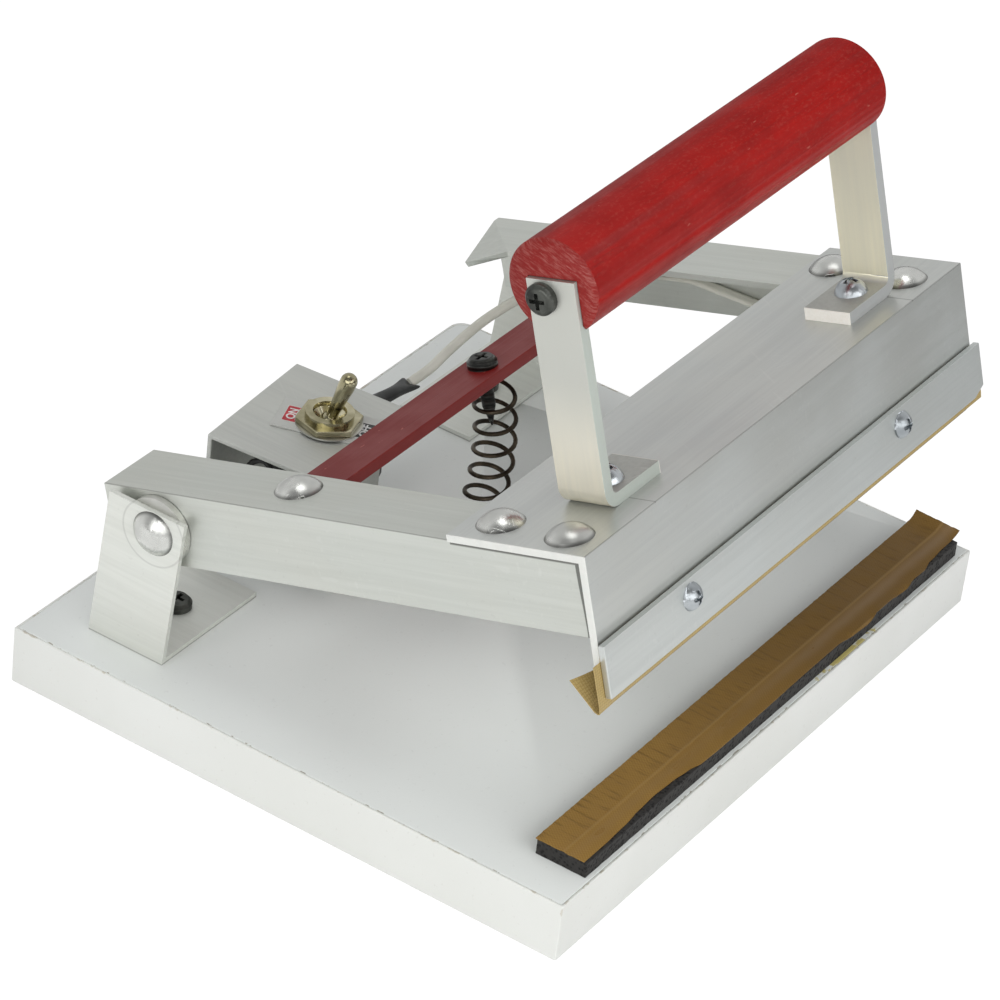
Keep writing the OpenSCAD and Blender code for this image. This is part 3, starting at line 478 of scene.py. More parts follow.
class Finish(Nodes):
    """A material in the making, with its coordinates and its colour so far."""

    def __init__(self, name, turn=0, flat=False, source=None):
        self.material = source.copy() if source else bpy.data.materials.new(name)
        self.material.name = name
        self.material.use_nodes = True
        super().__init__(self.material.node_tree)
        self.shader = self.tree.nodes["Principled BSDF"]
        self.v = self.put("UVMap")[0] if flat else self.place()
        if turn:
            self.v = self.mapped(self.v, turn=(turn, 0, 0))

    def clouds(self, scale):
        return self.use(clouds, self.v, Scale=scale)

    def stain(self, mask, tint, share=1.0):
        """Lays a tint over the colour, by a share of the mask."""
        self.colour = self.mix(self.times(mask, share), self.colour, tint)

    def gloss(self, value, rough, low=0.0, high=1.0):
        """Roughness that falls from the second limit to the first as a value rises."""
        return self.span(value, low, high, rough[1], rough[0])

    def link(self, **sockets):
        for key, value in sockets.items():
            self.feed(self.shader.inputs[key.replace("_", " ")], value)

    def close(self, rough, relief, **sockets):
        """Joins colour, roughness and relief (height, strength, distance) to the shader."""
        self.link(Base_Color=self.colour, Roughness=rough, Normal=self.bump(*relief), **sockets)
        return self.material


# ---- shared effects

def effect(name, *values):
    """Makes a function into a shared node group that takes a vector and named values."""
    def made(build):
        group = bpy.data.node_groups.new(name, "ShaderNodeTree")

        def socket(label, way, kind):
            group.interface.new_socket(label, in_out=way, socket_type="NodeSocket" + kind)

        socket("Vector", "INPUT", "Vector")
        for label in values:
            socket(label, "INPUT", "Float")
        inside = group.nodes.new("NodeGroupInput").outputs
        looks = build(Nodes(group), *[inside[label] for label in ("Vector", *values)])
        for label in looks:
            socket(label, "OUTPUT", "Float")
        out = group.nodes.new("NodeGroupOutput").inputs
        for label, look in looks.items():
            group.links.new(look, out[label])
        return group
    return made


@effect("rolled_streaks")
def streaks(g, v):
    fine = g.noise(v, 1.0, 6.0, 0.62)
    broad = g.noise(v, 0.23, 2.0)
    return {"Streak": g.span(g.sum_of(fine, 0.65, broad, 0.35), 0.33, 0.67)}


@effect("handling_scuffs", "Fineness")
def scuffs(g, v, fineness):
    marks = 0.0
    for turn, seed in ((28, 0.0), (-52, 3.7), (80, 9.1)):
        lines = g.mapped(g.mapped(v, turn=(0, 0, turn), shift=(seed, seed, seed)), (0.06, 1.0, 0.45))
        lines = g.span(g.noise(lines, fineness, 2.0, 0.4), 0.655, 0.72)
        marks = g.larger(marks, lines)
    patches = g.span(g.noise(v, 60.0, 2.0), 0.42, 0.62)
    return {"Scuff": g.times(marks, patches)}


@effect("cloudy_dulling", "Scale")
def clouds(g, v, scale):
    tiny = g.noise(v, 900.0, 2.0)
    return {"Cloud": g.span(g.noise(v, scale), 0.3, 0.7), "Speck": g.span(tiny, 0.66, 0.76)}


@effect("glass_cloth_weave", "Threads")
def weave(g, v, threads):
    x, y, _ = g.split(v)
    u, w = g.times(x, threads), g.times(y, threads)
    warp, weft = (g.size(g.sine(g.times(t, math.pi))) for t in (u, w))
    odd = g.size(g.calc("MODULO", g.plus(g.calc("FLOOR", u), g.calc("FLOOR", w)), 2.0))
    return {"Thread": g.sum_of(warp, odd, weft, g.minus(1.0, odd))}


@effect("turned_wood_grain")
def wood_grain(g, v):
    bend = g.drawn_out(v, (9, 60, 60), 2.0)
    lines = g.drawn_out(v, (22, 620, 620), 5.0, 0.6)
    pores = g.drawn_out(v, (70, 1900, 1900), 3.0, 0.55)
    nicks = g.drawn_out(v, (260, 700, 700), 2.0)
    return {"Grain": g.span(g.sum_of(lines, 0.7, bend, 0.3), 0.34, 0.66),
            "Pore": g.span(pores, 0.58, 0.7), "Nick": g.span(nicks, 0.73, 0.77)}


@effect("cut_sponge_pores", "Scale")
def sponge_pores(g, v, scale):
    cells = g.put("TexVoronoi", {"Vector": v, "Scale": scale})["Distance"]
    small = g.noise(v, 2400.0, 3.0, 0.6)
    return {"Pore": g.span(g.plus(cells, g.times(small, 0.35)), 0.25, 0.8)}


@effect("scribed_ring", "Radius")
def scribed_ring(g, v, radius):
    _, y, z = g.split(v)
    far = g.calc("SQRT", g.sum_of(y, y, z, z))
    return {"Line": g.fade(g.off(far, radius), 0.00008, 0.00035)}


# ---- finishes

ALONG_X, ALONG_Y, ALONG_Z = (28, 900, 900), (900, 28, 900), (900, 900, 28)
STRIP_ROUGH = (0.3, 0.42)

# on the jaw frame, in its level axes
ARM_SIDE, ARM_TOP = -0.075, 0.0694
ANGLE_FRONT, ANGLE_TOP = -0.08602, 0.0712
LEFT_STRAP_BEND, RIGHT_STRAP_BEND = 0.0535, 0.0617

# half the board with its banding, and without
EDGE_X, EDGE_Y = 0.0890, 0.0750
BOARD_X, BOARD_Y = 0.0882, 0.0742


def aluminium(name, light, dark, along, turn=0, rough=(0.4, 0.52), warm=0.15, scuff=0.15, metal=0.8,
              ring=None, seam=False, cut=None, corner=None, painted_strap_light=None, side=None, scribed=(), foot=False):
    """Mill-finish aluminium: streaks, dull clouds, scuffs, painted shade along seams, bends and feet, pale cut
    ends partly brightened as painted light, and painted light on strap faces and front edges.
    """
    f = Finish(name, turn)
    streak = f.use(streaks, f.mapped(f.v, along))[0]
    cloud, speck = f.clouds(38.0)
    mark = f.times(f.use(scuffs, f.v, Fineness=1100.0)[0], scuff)
    f.colour = f.mix(streak, dark, light)
    f.stain(cloud, (198, 194, 180), warm)
    f.stain(mark, (226, 227, 223))
    f.stain(speck, (140, 138, 132), 0.08)
    x, y, z = parts = f.split(f.v)
    if ring:
        line = f.use(scribed_ring, f.mapped(f.v, shift=ring), Radius=0.0083)[0]
        f.stain(line, (120, 120, 116), 0.22)
    # painted shade: a dark line along the bend where the top and side faces meet
    if corner:
        off = [f.off(parts[axis], place) for axis, place in corner]
        f.stain(f.fade(f.larger(*off), 0.0001, 0.0003), (96, 96, 92), 0.45)
    # painted light: the strap's upright part is painted lighter and warmer towards the bottom and plainer towards
    # the top
    if painted_strap_light:
        high, low, sign, bend = painted_strap_light
        upright = f.mix(f.span(z, 0.0725, 0.105), low, high)
        upright = f.mix(f.times(streak, 0.15), upright, light)
        outer = f.span(f.times(x, sign), bend - 0.0006, bend + 0.0006)
        f.stain(f.larger(f.span(z, 0.0744, 0.0758), outer), upright)
    # painted light: faces turned to the front take a set tone for how they are lit, and are less metallic as
    # sheared edges
    if side:
        lit_front_faces = f.dot(f.put("TexCoord")["Normal"], (0, -0.956, 0.292))
        lit_front_faces = f.span(lit_front_faces, 0.8, 0.95)
        f.stain(lit_front_faces, side)
        metal = f.minus(metal, f.times(lit_front_faces, 0.5))
    for place in scribed:
        line = f.fade(f.off(x, place), 0.00008, 0.00024)
        line = f.times(line, f.fade(y, -0.0785, -0.0784))
        line = f.times(line, f.span(z, 0.0708, 0.071))
        f.stain(line, (84, 84, 78), 0.5)
    # painted contact shadow: a dark line along the bottom of the foot where it meets the board
    if foot:
        f.stain(f.span(z, 0.0151, 0.0155, 0.55, 0.0), (96, 96, 90))
    # painted shadow: a dark line under the angle's overhanging flange and down the gap at the arm's front end
    if seam:
        under = f.times(f.fade(y, -0.0507, -0.0505), f.span(z, 0.0682, 0.0686))
        gap = f.minus(y, f.span(z, 0.052, 0.069, 0.0, 0.0006))
        f.stain(f.larger(under, f.fade(gap, -0.0833, -0.0831)), (70, 70, 66), 0.75)
    # pale matte cut ends, partly real and partly painted light: the near-white grit and its share per piece
    # brighten ends that sit in shade
    if cut:
        sign, end, share = cut
        raw = f.span(f.times(x, sign), end - 0.0003, end - 0.0001)
        grit = f.mix(f.noise(f.v, 1600.0, 3.0, 0.6), (240, 236, 224), (255, 254, 248))
        f.stain(raw, grit, share)
        metal = f.minus(metal, f.times(raw, metal))
    rough = f.gloss(f.sum_of(streak, 0.5, cloud, 0.5), rough, 0.15, 0.85)
    height = f.minus(f.times(streak, 0.5), mark)
    return f.close(rough, (height, 0.12, 0.00004), Metallic=metal)


def bright_metal(name, light, dark, rough, scale=120.0, rim=None):
    """Plated or polished metal, a little uneven, with painted shade at the rim where it sits."""
    f = Finish(name)
    cloud, _ = f.clouds(scale)
    scuff = f.use(scuffs, f.v, Fineness=1800.0)[0]
    f.colour = f.mix(cloud, dark, light)
    # painted shade: darker towards the base where the piece sits on its surface
    if rim:
        axis, place, sign, turn = rim
        along = f.split(f.mapped(f.v, turn=(turn, 0, 0)))[axis]
        above = f.times(f.minus(along, place), sign)
        f.stain(f.span(above, 0.0001, 0.0009, 0.75, 0.0), (84, 84, 81))
    height = f.sum_of(cloud, 0.6, scuff, -0.5)
    return f.close(f.gloss(f.minus(cloud, scuff), rough), (height, 0.3, 0.0002), Metallic=1.0)


def plain_coat(name, light, dark, rough, scale=80.0, metal=0.0):
    """Plastic, rubber, print or black-finished metal with slight cloudiness and specks."""
    f = Finish(name)
    cloud, speck = f.clouds(scale)
    f.colour = f.mix(cloud, dark, light)
    f.stain(speck, light, 0.5)
    return f.close(f.gloss(cloud, rough), (speck, 0.2, 0.0001), Metallic=metal)


def melamine_board():
    """White melamine with brown glue lines along the banding and old glue before the pad."""
    f = Finish("white_melamine")
    cloud, speck = f.clouds(14.0)
    f.colour = f.mix(cloud, (227, 230, 227), (232, 235, 232))
    f.stain(speck, (170, 170, 165), 0.12)
    x, y, z = f.split(f.v)
    edge = f.smaller(f.minus(BOARD_X, f.size(x)), f.minus(BOARD_Y, f.size(y)))
    ragged = f.noise(f.v, 420.0, 3.0, 0.6)
    reach = f.span(ragged, 0.4, 0.7, -0.0003, 0.00016)
    glue = f.fade(f.minus(edge, reach), -0.0001, 0.00012)
    glue = f.times(glue, f.span(z, 0.0146, 0.01485))
    f.stain(glue, (126, 112, 84), 0.75)
    patch = f.mapped(f.mapped(f.v, shift=(-0.0325, 0.0738, -0.015)), (80, 560, 300))
    spot = f.put("VectorMath", {0: patch}, operation="LENGTH")["Value"]
    spot = f.plus(spot, f.span(ragged, 0.3, 0.7, -0.6, 0.6))
    f.stain(f.fade(spot, 0.55, 1.0), (196, 178, 76), 0.85)
    height = f.plus(cloud, f.times(glue, 2.0))
    return f.close(f.gloss(cloud, (0.28, 0.36)), (height, 0.15, 0.0001))


def edge_strip():
    """Warm white edge strip, with a trace of glue along its top edge and corners."""
    f = Finish("white_edge_strip")
    cloud, speck = f.clouds(18.0)
    f.colour = f.mix(cloud, (217, 218, 213), (223, 224, 220))
    f.stain(speck, (188, 186, 178), 0.25)
    x, y, z = f.split(f.v)
    ragged = f.noise(f.v, 300.0, 4.0, 0.65)
    low = f.minus(BOARD_TOP * MM, z)
    top = f.fade(f.minus(low, f.span(ragged, 0.4, 0.75, -0.0003, 0.0002)), -0.0001, 0.00015)
    corner = f.larger(f.minus(EDGE_X, f.size(x)), f.minus(EDGE_Y, f.size(y)))
    seam = f.fade(f.minus(corner, f.span(ragged, 0.45, 0.75, -0.0002, 0.0004)), 0.0, 0.00025)
    f.stain(f.larger(f.times(top, 0.5), f.times(seam, 0.35)), (150, 132, 100))
    return f.close(f.gloss(cloud, (0.36, 0.46)), (cloud, 0.1, 0.0002))


def red_paint(name, light, dark, shine, ends=False):
    """Red paint over wood or steel: grain along X, pores, nicks, dust, and saw marks on cut ends."""
    f = Finish(name, JAW_TURN)
    grain, pore, nick = f.use(wood_grain, f.v)
    cloud, _ = f.clouds(90.0)
    mottle = f.sum_of(grain, 0.4, cloud, 0.6)
    f.colour = f.mix(mottle, dark, light)
    f.stain(pore, (92, 14, 14), 0.2)
    f.stain(nick, (190, 110, 96), 0.5)
    lift = f.plus(pore, nick)
    if ends:
        dust = f.drawn_out(f.v, (900, 1500, 1500), 3.0, 0.6)
        f.stain(f.span(dust, 0.5, 0.72, 0.0, 0.16), (176, 92, 80))
        facing = f.split(f.put("NewGeometry")["Normal"])[0]
        end = f.span(f.size(facing), 0.35, 0.9)
        slant = f.mapped(f.place(), turn=(-15, 0, 0))
        saw = f.span(f.drawn_out(slant, (300, 420, 2300), 5.0, 0.7), 0.42, 0.72)
        f.stain(end, (120, 28, 25), 0.75)
        f.stain(end, (190, 128, 120), f.times(saw, 0.38))
        lift = f.minus(lift, f.times(end, saw))
    height = f.minus(f.times(grain, 0.5), lift)
    return f.close(f.gloss(mottle, (0.38, 0.52)), (height, 0.2, 0.00008), Specular_IOR_Level=shine)


def threaded(source, name, pitch):
    """A copy of a finish with the ridges of a wood-screw thread across the jaw's height, its grooves darkened as
    painted shade.
    """
    f = Finish(name, JAW_TURN, source=source)
    x, _, z = f.split(f.v)
    ridge = f.sine(f.times(f.plus(z, f.times(x, 0.12)), math.tau / pitch))
    f.colour = f.shader.inputs["Base Color"].links[0].from_socket
    # painted shade in the thread's grooves
    groove_shade = f.mix(f.span(ridge, -0.2, 0.7, 0.6, 0.0), f.colour, (20, 20, 18))
    below_head = f.fade(z, 0.0703, 0.0706)
    f.stain(below_head, groove_shade)
    f.link(Base_Color=f.colour, Normal=f.bump(f.times(ridge, below_head), 0.8, 0.0004))
    return f.material


def cloth_tape(name, light, dark, threads, turn=0, worn_with_painted_light=False, shine=0.3):
    """Coated glass cloth: a fine weave under a slightly glossy, stained coat; worn tape also gets creases and a
    smoother band, with painted shade and painted sheen.
    """
    f = Finish(name, flat=True)
    thread = f.use(weave, f.mapped(f.v, turn=(0, 0, turn)), Threads=threads)[0]
    cloud, speck = f.clouds(70.0)
    f.colour = f.mix(thread, dark, light)
    f.stain(cloud, dark, 0.45)
    f.stain(speck, light, 0.4)
    rough = f.gloss(cloud, (0.36, 0.55))
    height = thread
    if worn_with_painted_light:
        along, across, _ = f.split(f.v)
        away = f.plus(across, f.times(cloud, 0.0005))
        # creases with bump, painted darker as painted shade
        creases = f.span(f.drawn_out(f.v, (900, 90, 1), 3.0, 0.6), 0.5, 0.7)
        creases = f.times(creases, f.span(away, 0.0055, 0.0085))
        f.stain(creases, (70, 50, 22), 0.45)
        # painted shade: darker towards the right end, where the light falls off
        f.stain(f.span(along, -0.06, 0.05), (86, 62, 26), 0.62)
        # a smoother rubbed band whose pale colour is a painted sheen
        rubbed_and_sheen = f.fade(f.off(away, 0.0045), 0.0, 0.0026)
        f.stain(rubbed_and_sheen, (140, 116, 88), f.span(along, -0.03, 0.05, 0.1, 0.5))
        # painted highlight along the ridge
        ridge = f.fade(f.off(across, 0.0062), 0.0001, 0.0005)
        f.stain(ridge, (176, 146, 98), 0.22)
        rough = f.minus(rough, f.times(rubbed_and_sheen, 0.1), clamp=True)
        height = f.plus(f.times(height, 0.5), f.minus(ridge, creases))
    return f.close(rough, (height, 0.4, 0.00008), Specular_IOR_Level=shine)


def sponge():
    """Black sponge rubber with open pores and a little dust."""
    f = Finish("black_sponge_rubber")
    pore = f.use(sponge_pores, f.v, Scale=1000.0)[0]
    _, speck = f.clouds(120.0)
    f.colour = f.mix(pore, (18, 17, 16), (41, 39, 37))
    f.stain(speck, (84, 78, 72), 0.4)
    return f.close(f.gloss(pore, (0.75, 0.95)), (pore, 0.9, 0.0003))


# the arm carries a painted shadow under the flange and painted shade along its bend
arm_metal = aluminium("arm_aluminium", (207, 210, 204), (201, 204, 198), ALONG_Y, JAW_TURN, seam=True,
                      corner=((0, ARM_SIDE), (2, ARM_TOP)))
# the angle carries painted shade along its bend and a pale cut end partly brightened as painted light
angle_metal = aluminium("jaw_aluminium", (205, 208, 205), (199, 202, 200), ALONG_X, JAW_TURN, STRIP_ROUGH,
                        metal=0.75, cut=(-1, 0.076, 0.3), corner=((1, ANGLE_FRONT), (2, ANGLE_TOP)),
                        scribed=(-0.0485, 0.0607))
strip_metal = aluminium("strip_aluminium", (208, 212, 210), (201, 205, 203), ALONG_X, JAW_TURN, STRIP_ROUGH,
                        warm=0.08, metal=0.75)
# painted light: a lighter copy of the arm aluminium, for the right arm's shaded sides
lightened_right_arm_metal = aluminium("right_arm_aluminium", (212, 215, 209), (206, 209, 203), ALONG_Y, JAW_TURN)
# both straps carry painted light: lighter lower faces, set tones on their front edges and brightened cut ends
STRAP_TONES = (184, 186, 181), (178, 180, 175), ALONG_Z, JAW_TURN
strap_metal = aluminium("strap_aluminium", *STRAP_TONES, warm=0.08, cut=(1, -0.03595, 0.9), scuff=0.35,
                        painted_strap_light=((200, 201, 194), (244, 238, 220), -1, LEFT_STRAP_BEND), side=(192, 199, 191))
far_strap_metal = aluminium("far_strap_aluminium", *STRAP_TONES, warm=0.08, cut=(-1, -0.04415, 1.0), metal=0.5,
                            painted_strap_light=((226, 223, 202), (254, 249, 222), 1, RIGHT_STRAP_BEND), side=(172, 174, 173))
# the bracket carries a painted contact shadow along its foot
bracket_metal = aluminium("bracket_aluminium", (224, 226, 220), (217, 219, 213), ALONG_Y, rough=(0.46, 0.6),
                          metal=0.45, ring=(0.0, -0.0463, -0.0489), foot=True)
housing_metal = aluminium("housing_aluminium", (197, 199, 194), (191, 193, 189), ALONG_Y, rough=(0.44, 0.56),
                          warm=0.1, scuff=0.08)
# each rivet finish carries painted shade towards its own base
RIVET_TONES = (222, 223, 219), (194, 195, 191), (0.22, 0.33), 120.0
rivet_metal = bright_metal("rivet_aluminium", *RIVET_TONES, (2, ANGLE_TOP, 1, JAW_TURN))
bar_rivet_metal = bright_metal("bar_rivet_aluminium", *RIVET_TONES, (2, ARM_TOP, 1, JAW_TURN))
pivot_rivet_metal = bright_metal("pivot_rivet_aluminium", *RIVET_TONES, (0, -0.07805, -1, 0))
washer_metal = bright_metal("washer_steel", (216, 216, 211), (192, 192, 187), (0.25, 0.42))
zinc = bright_metal("zinc_screw", (194, 199, 202), (152, 158, 162), (0.26, 0.38))
nickel = bright_metal("nickel_switch", (206, 200, 172), (150, 144, 114), (0.1, 0.2))
brass = bright_metal("brass_tags", (214, 184, 110), (176, 146, 80), (0.22, 0.4))
spring_steel = bright_metal("oiled_spring_wire", (84, 76, 64), (50, 45, 38), (0.34, 0.52), 300.0)
band_steel = bright_metal("heating_band", (186, 184, 178), (150, 146, 140), (0.3, 0.46))
black_steel = plain_coat("black_screw_steel", (82, 84, 79), (40, 41, 38), (0.3, 0.46), 260.0, 0.6)
thread_steel = threaded(black_steel, "black_threaded_steel", 0.0016)
black_plastic = plain_coat("black_switch_body", (34, 34, 34), (20, 20, 20), (0.45, 0.6))
black_wire_skin = plain_coat("black_wire_skin", (40, 40, 40), (24, 24, 24), (0.4, 0.55))
grommet_rubber = plain_coat("grommet_rubber", (40, 40, 40), (26, 26, 26), (0.6, 0.8))
taped_black = plain_coat("wrapped_black_tape", (54, 57, 55), (26, 28, 27), (0.32, 0.5), 160.0)
lead_skin = plain_coat("pale_lead_skin", (216, 215, 204), (206, 205, 194), (0.38, 0.52), 120.0)
plate_print = plain_coat("switch_plate_face", (194, 195, 190), (187, 188, 183), (0.3, 0.42), 60.0)
patch_red = plain_coat("red_print", (196, 40, 52), (168, 30, 42), (0.3, 0.42), 400.0)
patch_black = plain_coat("black_print", (52, 54, 54), (34, 36, 36), (0.3, 0.42), 400.0)
print_border = plain_coat("pale_print", (208, 208, 203), (198, 198, 193), (0.35, 0.5), 400.0)
print_white = plain_coat("white_print", (238, 238, 236), (220, 220, 218), (0.35, 0.5), 400.0)
melamine = melamine_board()
banding = edge_strip()
grip_paint = red_paint("red_grip_paint", (161, 16, 9), (138, 11, 7), 0.2, ends=True)
bar_paint = red_paint("red_bar_paint", (119, 18, 14), (111, 14, 11), 0.42)
foam_skin = sponge()
pad_cloth = cloth_tape("brown_pad_tape", (162, 127, 68), (136, 103, 48), 1700.0, 40, worn_with_painted_light=True, shine=0.14)
jaw_cloth = cloth_tape("tan_jaw_tape", (188, 166, 112), (150, 126, 72), 1500.0)
under_cloth = cloth_tape("edge_insulation_tape", (198, 172, 120), (160, 130, 80), 1200.0)


# ---- cords

LEAD_WIDE, LEAD_THICK = 2.5, 1.6
LEAD_BOW, LEAD_SAG = 3.5, 0.6
FREE_FROM = Vector((25.8, 48.4, 38.0))
JAW_LEAD = (79.1, 10.0, -2.0)
# along the free run from 0 to 1, with its share of the bow and of the sag
FREE_RUN = ((0.134, 0.12, 0.56), (0.268, 0.52, 0.91), (0.401, 0.82, 0.99), (0.535, 1.0, 0.86),
            (0.668, 0.93, 0.66), (0.783, 0.7, 0.32), (0.878, 0.38, 0.05), (0.954, 0.16, -0.05))
# forward along the arm, and up
ARM_RUN = ((0, 0), (10, 1), (20, 2), (32, 2.1), (40, 0.2), (50, -2.3), (56, -3.6))


def lead_points():
    """The heater lead's run from the taped end to the right arm and along it, in millimetres."""
    x, reach, up = JAW_LEAD
    far = on_jaw(x - 0.7, reach - 3, up - 0.4) / MM
    free = [FREE_FROM + t * (far - FREE_FROM) + Vector((0, bow * LEAD_BOW, -sag * LEAD_SAG))
            for t, bow, sag in FREE_RUN]
    held = [on_jaw(x, reach + forward, up + lift) / MM for forward, lift in ARM_RUN]
    return [FREE_FROM, *free, far, *held]


def twin_profile(side, up):
    """The outline of a flat two-core lead: two round cores side by side."""
    core = LEAD_THICK / 2
    off = LEAD_WIDE / 2 - core
    ring = []
    for start, middle in ((-110, off), (70, -off)):
        for k in range(8):
            a = math.radians(start + 220 * k / 7)
            ring.append(side * (middle + core * math.cos(a)) + up * (core * math.sin(a)))
    return ring


def make_heater_lead():
    run = smooth_run(lead_points(), 5)
    frames = run_frames(run, Vector((-0.35, -0.5, 0.8)))
    rings = [[(p + q) * MM for q in twin_profile(*sides)] for p, sides in zip(run, frames)]
    obj = skin_rings("heater_lead_flex", rings)
    smooth(obj, 50)
    paint(obj, lead_skin)
    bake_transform(obj)
    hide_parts("heater_lead", "arm_lead")


make_heater_lead()

WIRE_D, WIRE_SIDES = 1.4, 10
CRIMP_UP = -8.218
LEAD_END_X, LEAD_END_UP = 79.1, -5.6


def round_wire(run):
    """Rings of a round wire along a run in millimetres."""
    angles = [2 * math.pi * k / WIRE_SIDES for k in range(WIRE_SIDES)]
    return [[(p + (side * math.cos(a) + up * math.sin(a)) * WIRE_D / 2) * MM for a in angles]
            for p, (side, up) in zip(run, run_frames(run, Vector((0.31, 0.2, 0.93))))]


def make_wires(node, routes, material):
    """One piece of two wires, each a closed tube."""
    first, second = (skin_rings(node + "_finished", round_wire(smooth_run(route, 6))) for route in routes)
    only(first)
    second.select_set(True)
    act.join()
    smooth(first, 50)
    paint(first, material)
    stand_for(first, node)


def jaw_run(*points):
    return [on_jaw(*p) / MM for p in points]


def switch_point(x, y, z):
    return on_switch(x, y, BOARD_TOP + z) / MM


right_wire = jaw_run((LEAD_END_X - 0.7, 66.25, LEAD_END_UP), (78.1, 78.0, -6.6), (76.5, 105.9, CRIMP_UP + 5),
                     (76.5, 111.5, CRIMP_UP + 3.5), (76.5, 111.9, CRIMP_UP + 0.25))
left_wire = jaw_run((LEAD_END_X - 2.35, 66.25, LEAD_END_UP), (75.1, 74.0, -3.6), (62.06, 88.0, 4.0),
                    (39.92, 92.0, 5.0), (0.05, 93.0, 5.0), (-39.99, 92.0, 5.0), (-61.5, 99.9, CRIMP_UP + 9),
                    (-68.0, 108.9, CRIMP_UP + 6), (-69.5, 111.9, CRIMP_UP + 3), (-69.5, 111.9, CRIMP_UP + 0.25))
make_wires("element_wires", (right_wire, left_wire), lead_skin)

TAG_X, CURL = 1.15, 2.8
sleeve_wire = [switch_point(TAG_X, -6, 10.8), switch_point(TAG_X + CURL, -5.07, 9.4),
               switch_point(TAG_X + 3 * CURL, -3.2, 10.8), in_housing(TAG_X + 4 * CURL, -1.3, 15.2),
               in_housing(13.25 - CURL, 0.6, 22.65), in_housing(13.0, 0.6, 23.0)]
supply_wire = [switch_point(-TAG_X, 6, 10.8), switch_point(-TAG_X - CURL, 7.4, 10.2), in_housing(-9.5, 5.5, 12),
               in_housing(-12.5, 4, 19), in_housing(-13.2, 6, 23.2), in_housing(-12.6, 10, 21),
               in_housing(-10.5, 13.6, 14), in_housing(-9, 15.7, 9.2), in_housing(-9, 18.5, 9)]
make_wires("switch_wires", (sleeve_wire, supply_wire), black_wire_skin)


# ---- hard pieces

# finish, width of the softened edges in millimetres, and the pieces
for material, soften, *nodes in (
    (melamine, 0.15, "baseboard"), (banding, 0.35, "edge_banding"),
    (bracket_metal, 0.3, "left_hinge_bracket", "right_hinge_bracket"), (housing_metal, 0.3, "switch_housing"),
    (arm_metal, 0.2, "left_arm"), (lightened_right_arm_metal, 0.2, "right_arm"), (angle_metal, 0.15, "front_angle"),
    (strap_metal, 0.35, "left_handle_strap"), (far_strap_metal, 0.35, "right_handle_strap"),
    (strip_metal, 0.25, "clamp_strip"), (bar_paint, 0.3, "spring_bar"), (plate_print, 0.08, "on_off_plate"),
    (black_plastic, 0.4, "toggle_body"), (band_steel, 0, "heating_element"),
    (brass, 0.1, "switch_terminals"), (brass, 0, "element_crimps"), (grommet_rubber, 0, "inlet_grommet"),
    (black_steel, 0, "bracket_screws", "housing_screws", "handle_screws", "spring_seat_screw"),
    (thread_steel, 0, "spring_bar_screw"), (pivot_rivet_metal, 0, "left_pivot_rivet"),
    (rivet_metal, 0, "frame_rivets"), (bar_rivet_metal, 0, "spring_bar_rivets"),
    (washer_metal, 0, "right_pivot_rivet", "pivot_washers", "toggle_washer"),
    (zinc, 0, "strap_screws", "clamp_screws"), (zinc, 0.2, "strap_nuts", "clamp_nuts"),
    (nickel, 0, "toggle_bushing", "toggle_lever"), (nickel, 0.25, "toggle_nut"),
):
    for node in nodes:
        dress(node, material, soften, even=node not in BOARD_PIECES)


def make_ball_seat():
    """The plated seat round the lever's ball, inside the bushing."""
    obj = fresh("lever_ball_seat", ops.primitive_cone_add, vertices=40, radius1=2.55 * MM,
                radius2=3.95 * MM, depth=1.6 * MM, end_fill_type="NOTHING")
    obj.location = on_switch(0, 0, 45.8)
    settle(obj)
    thicken(obj, 0.15, 1.0)
    smooth(obj, 50)
    paint(obj, nickel)
    go_with(obj, "toggle_bushing")


make_ball_seat()

GRIP_MIDDLE, GRIP_RADIUS = (-34.03, 137.765), 11.1
grip = dress("handle_grip", grip_paint, 0, even=False)
round_rim(grip, GRIP_MIDDLE, GRIP_RADIUS, 1.6)


# ---- spring

SPRING_X, SPRING_Y = 7.8, 14.5641
COIL_R, COIL_WIRE, COIL_TURNS = 4.85, 1.1, 7.5
COIL_LOW, COIL_HIGH = 15.55, 60.8321
COIL_BOW = Vector((1.3, -1.3, 0.0))


def make_spring():
    """A round wire swept up the coil, with a short straight run at each end."""
    obj = fresh("return_spring_wire", ops.primitive_circle_add, vertices=12,
                radius=COIL_WIRE / 2 * MM, rotation=(0, math.pi / 2, 0))
    settle(obj)
    editing(obj)
    select_all()
    bpy.ops.transform.translate(value=(0, -COIL_R * MM, 0))
    done(obj)
    coil = obj.modifiers.new("coil", "SCREW")
    coil.axis = "Z"
    coil.angle = math.tau * COIL_TURNS
    coil.screw_offset = (COIL_HIGH - COIL_LOW) * MM
    coil.steps = coil.render_steps = 210
    coil.use_merge_vertices = False
    apply_all(obj)
    half_way = (COIL_HIGH - COIL_LOW) / 2 * MM
    for lower in (True, False):
        editing(obj)
        pick_edges(obj, lambda e: e.is_boundary and (mid_height(e) < half_way) == lower)
        ops.extrude_region_move(TRANSFORM_OT_translate={"value": (-COIL_WIRE * MM, 0, 0)})
        ops.edge_face_add()
        done(obj)
    editing(obj)
    select_all()
    bpy.ops.transform.translate(value=tuple(at(SPRING_X, SPRING_Y, COIL_LOW)))
    ops.normals_make_consistent(inside=False)
    for v in bmesh.from_edit_mesh(obj.data).verts:
        t = (v.co.z / MM - COIL_LOW) / (COIL_HIGH - COIL_LOW)
        bow = max(0.0, math.sin(math.pi * min(max(t - 0.2, 0.0) / 0.8, 1.0)))
        v.co += COIL_BOW * bow * MM
    bmesh.update_edit_mesh(obj.data)
    done(obj)
    smooth(obj, 50)
    paint(obj, spring_steel)
    stand_for(obj, "return_spring")
    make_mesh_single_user(obj)


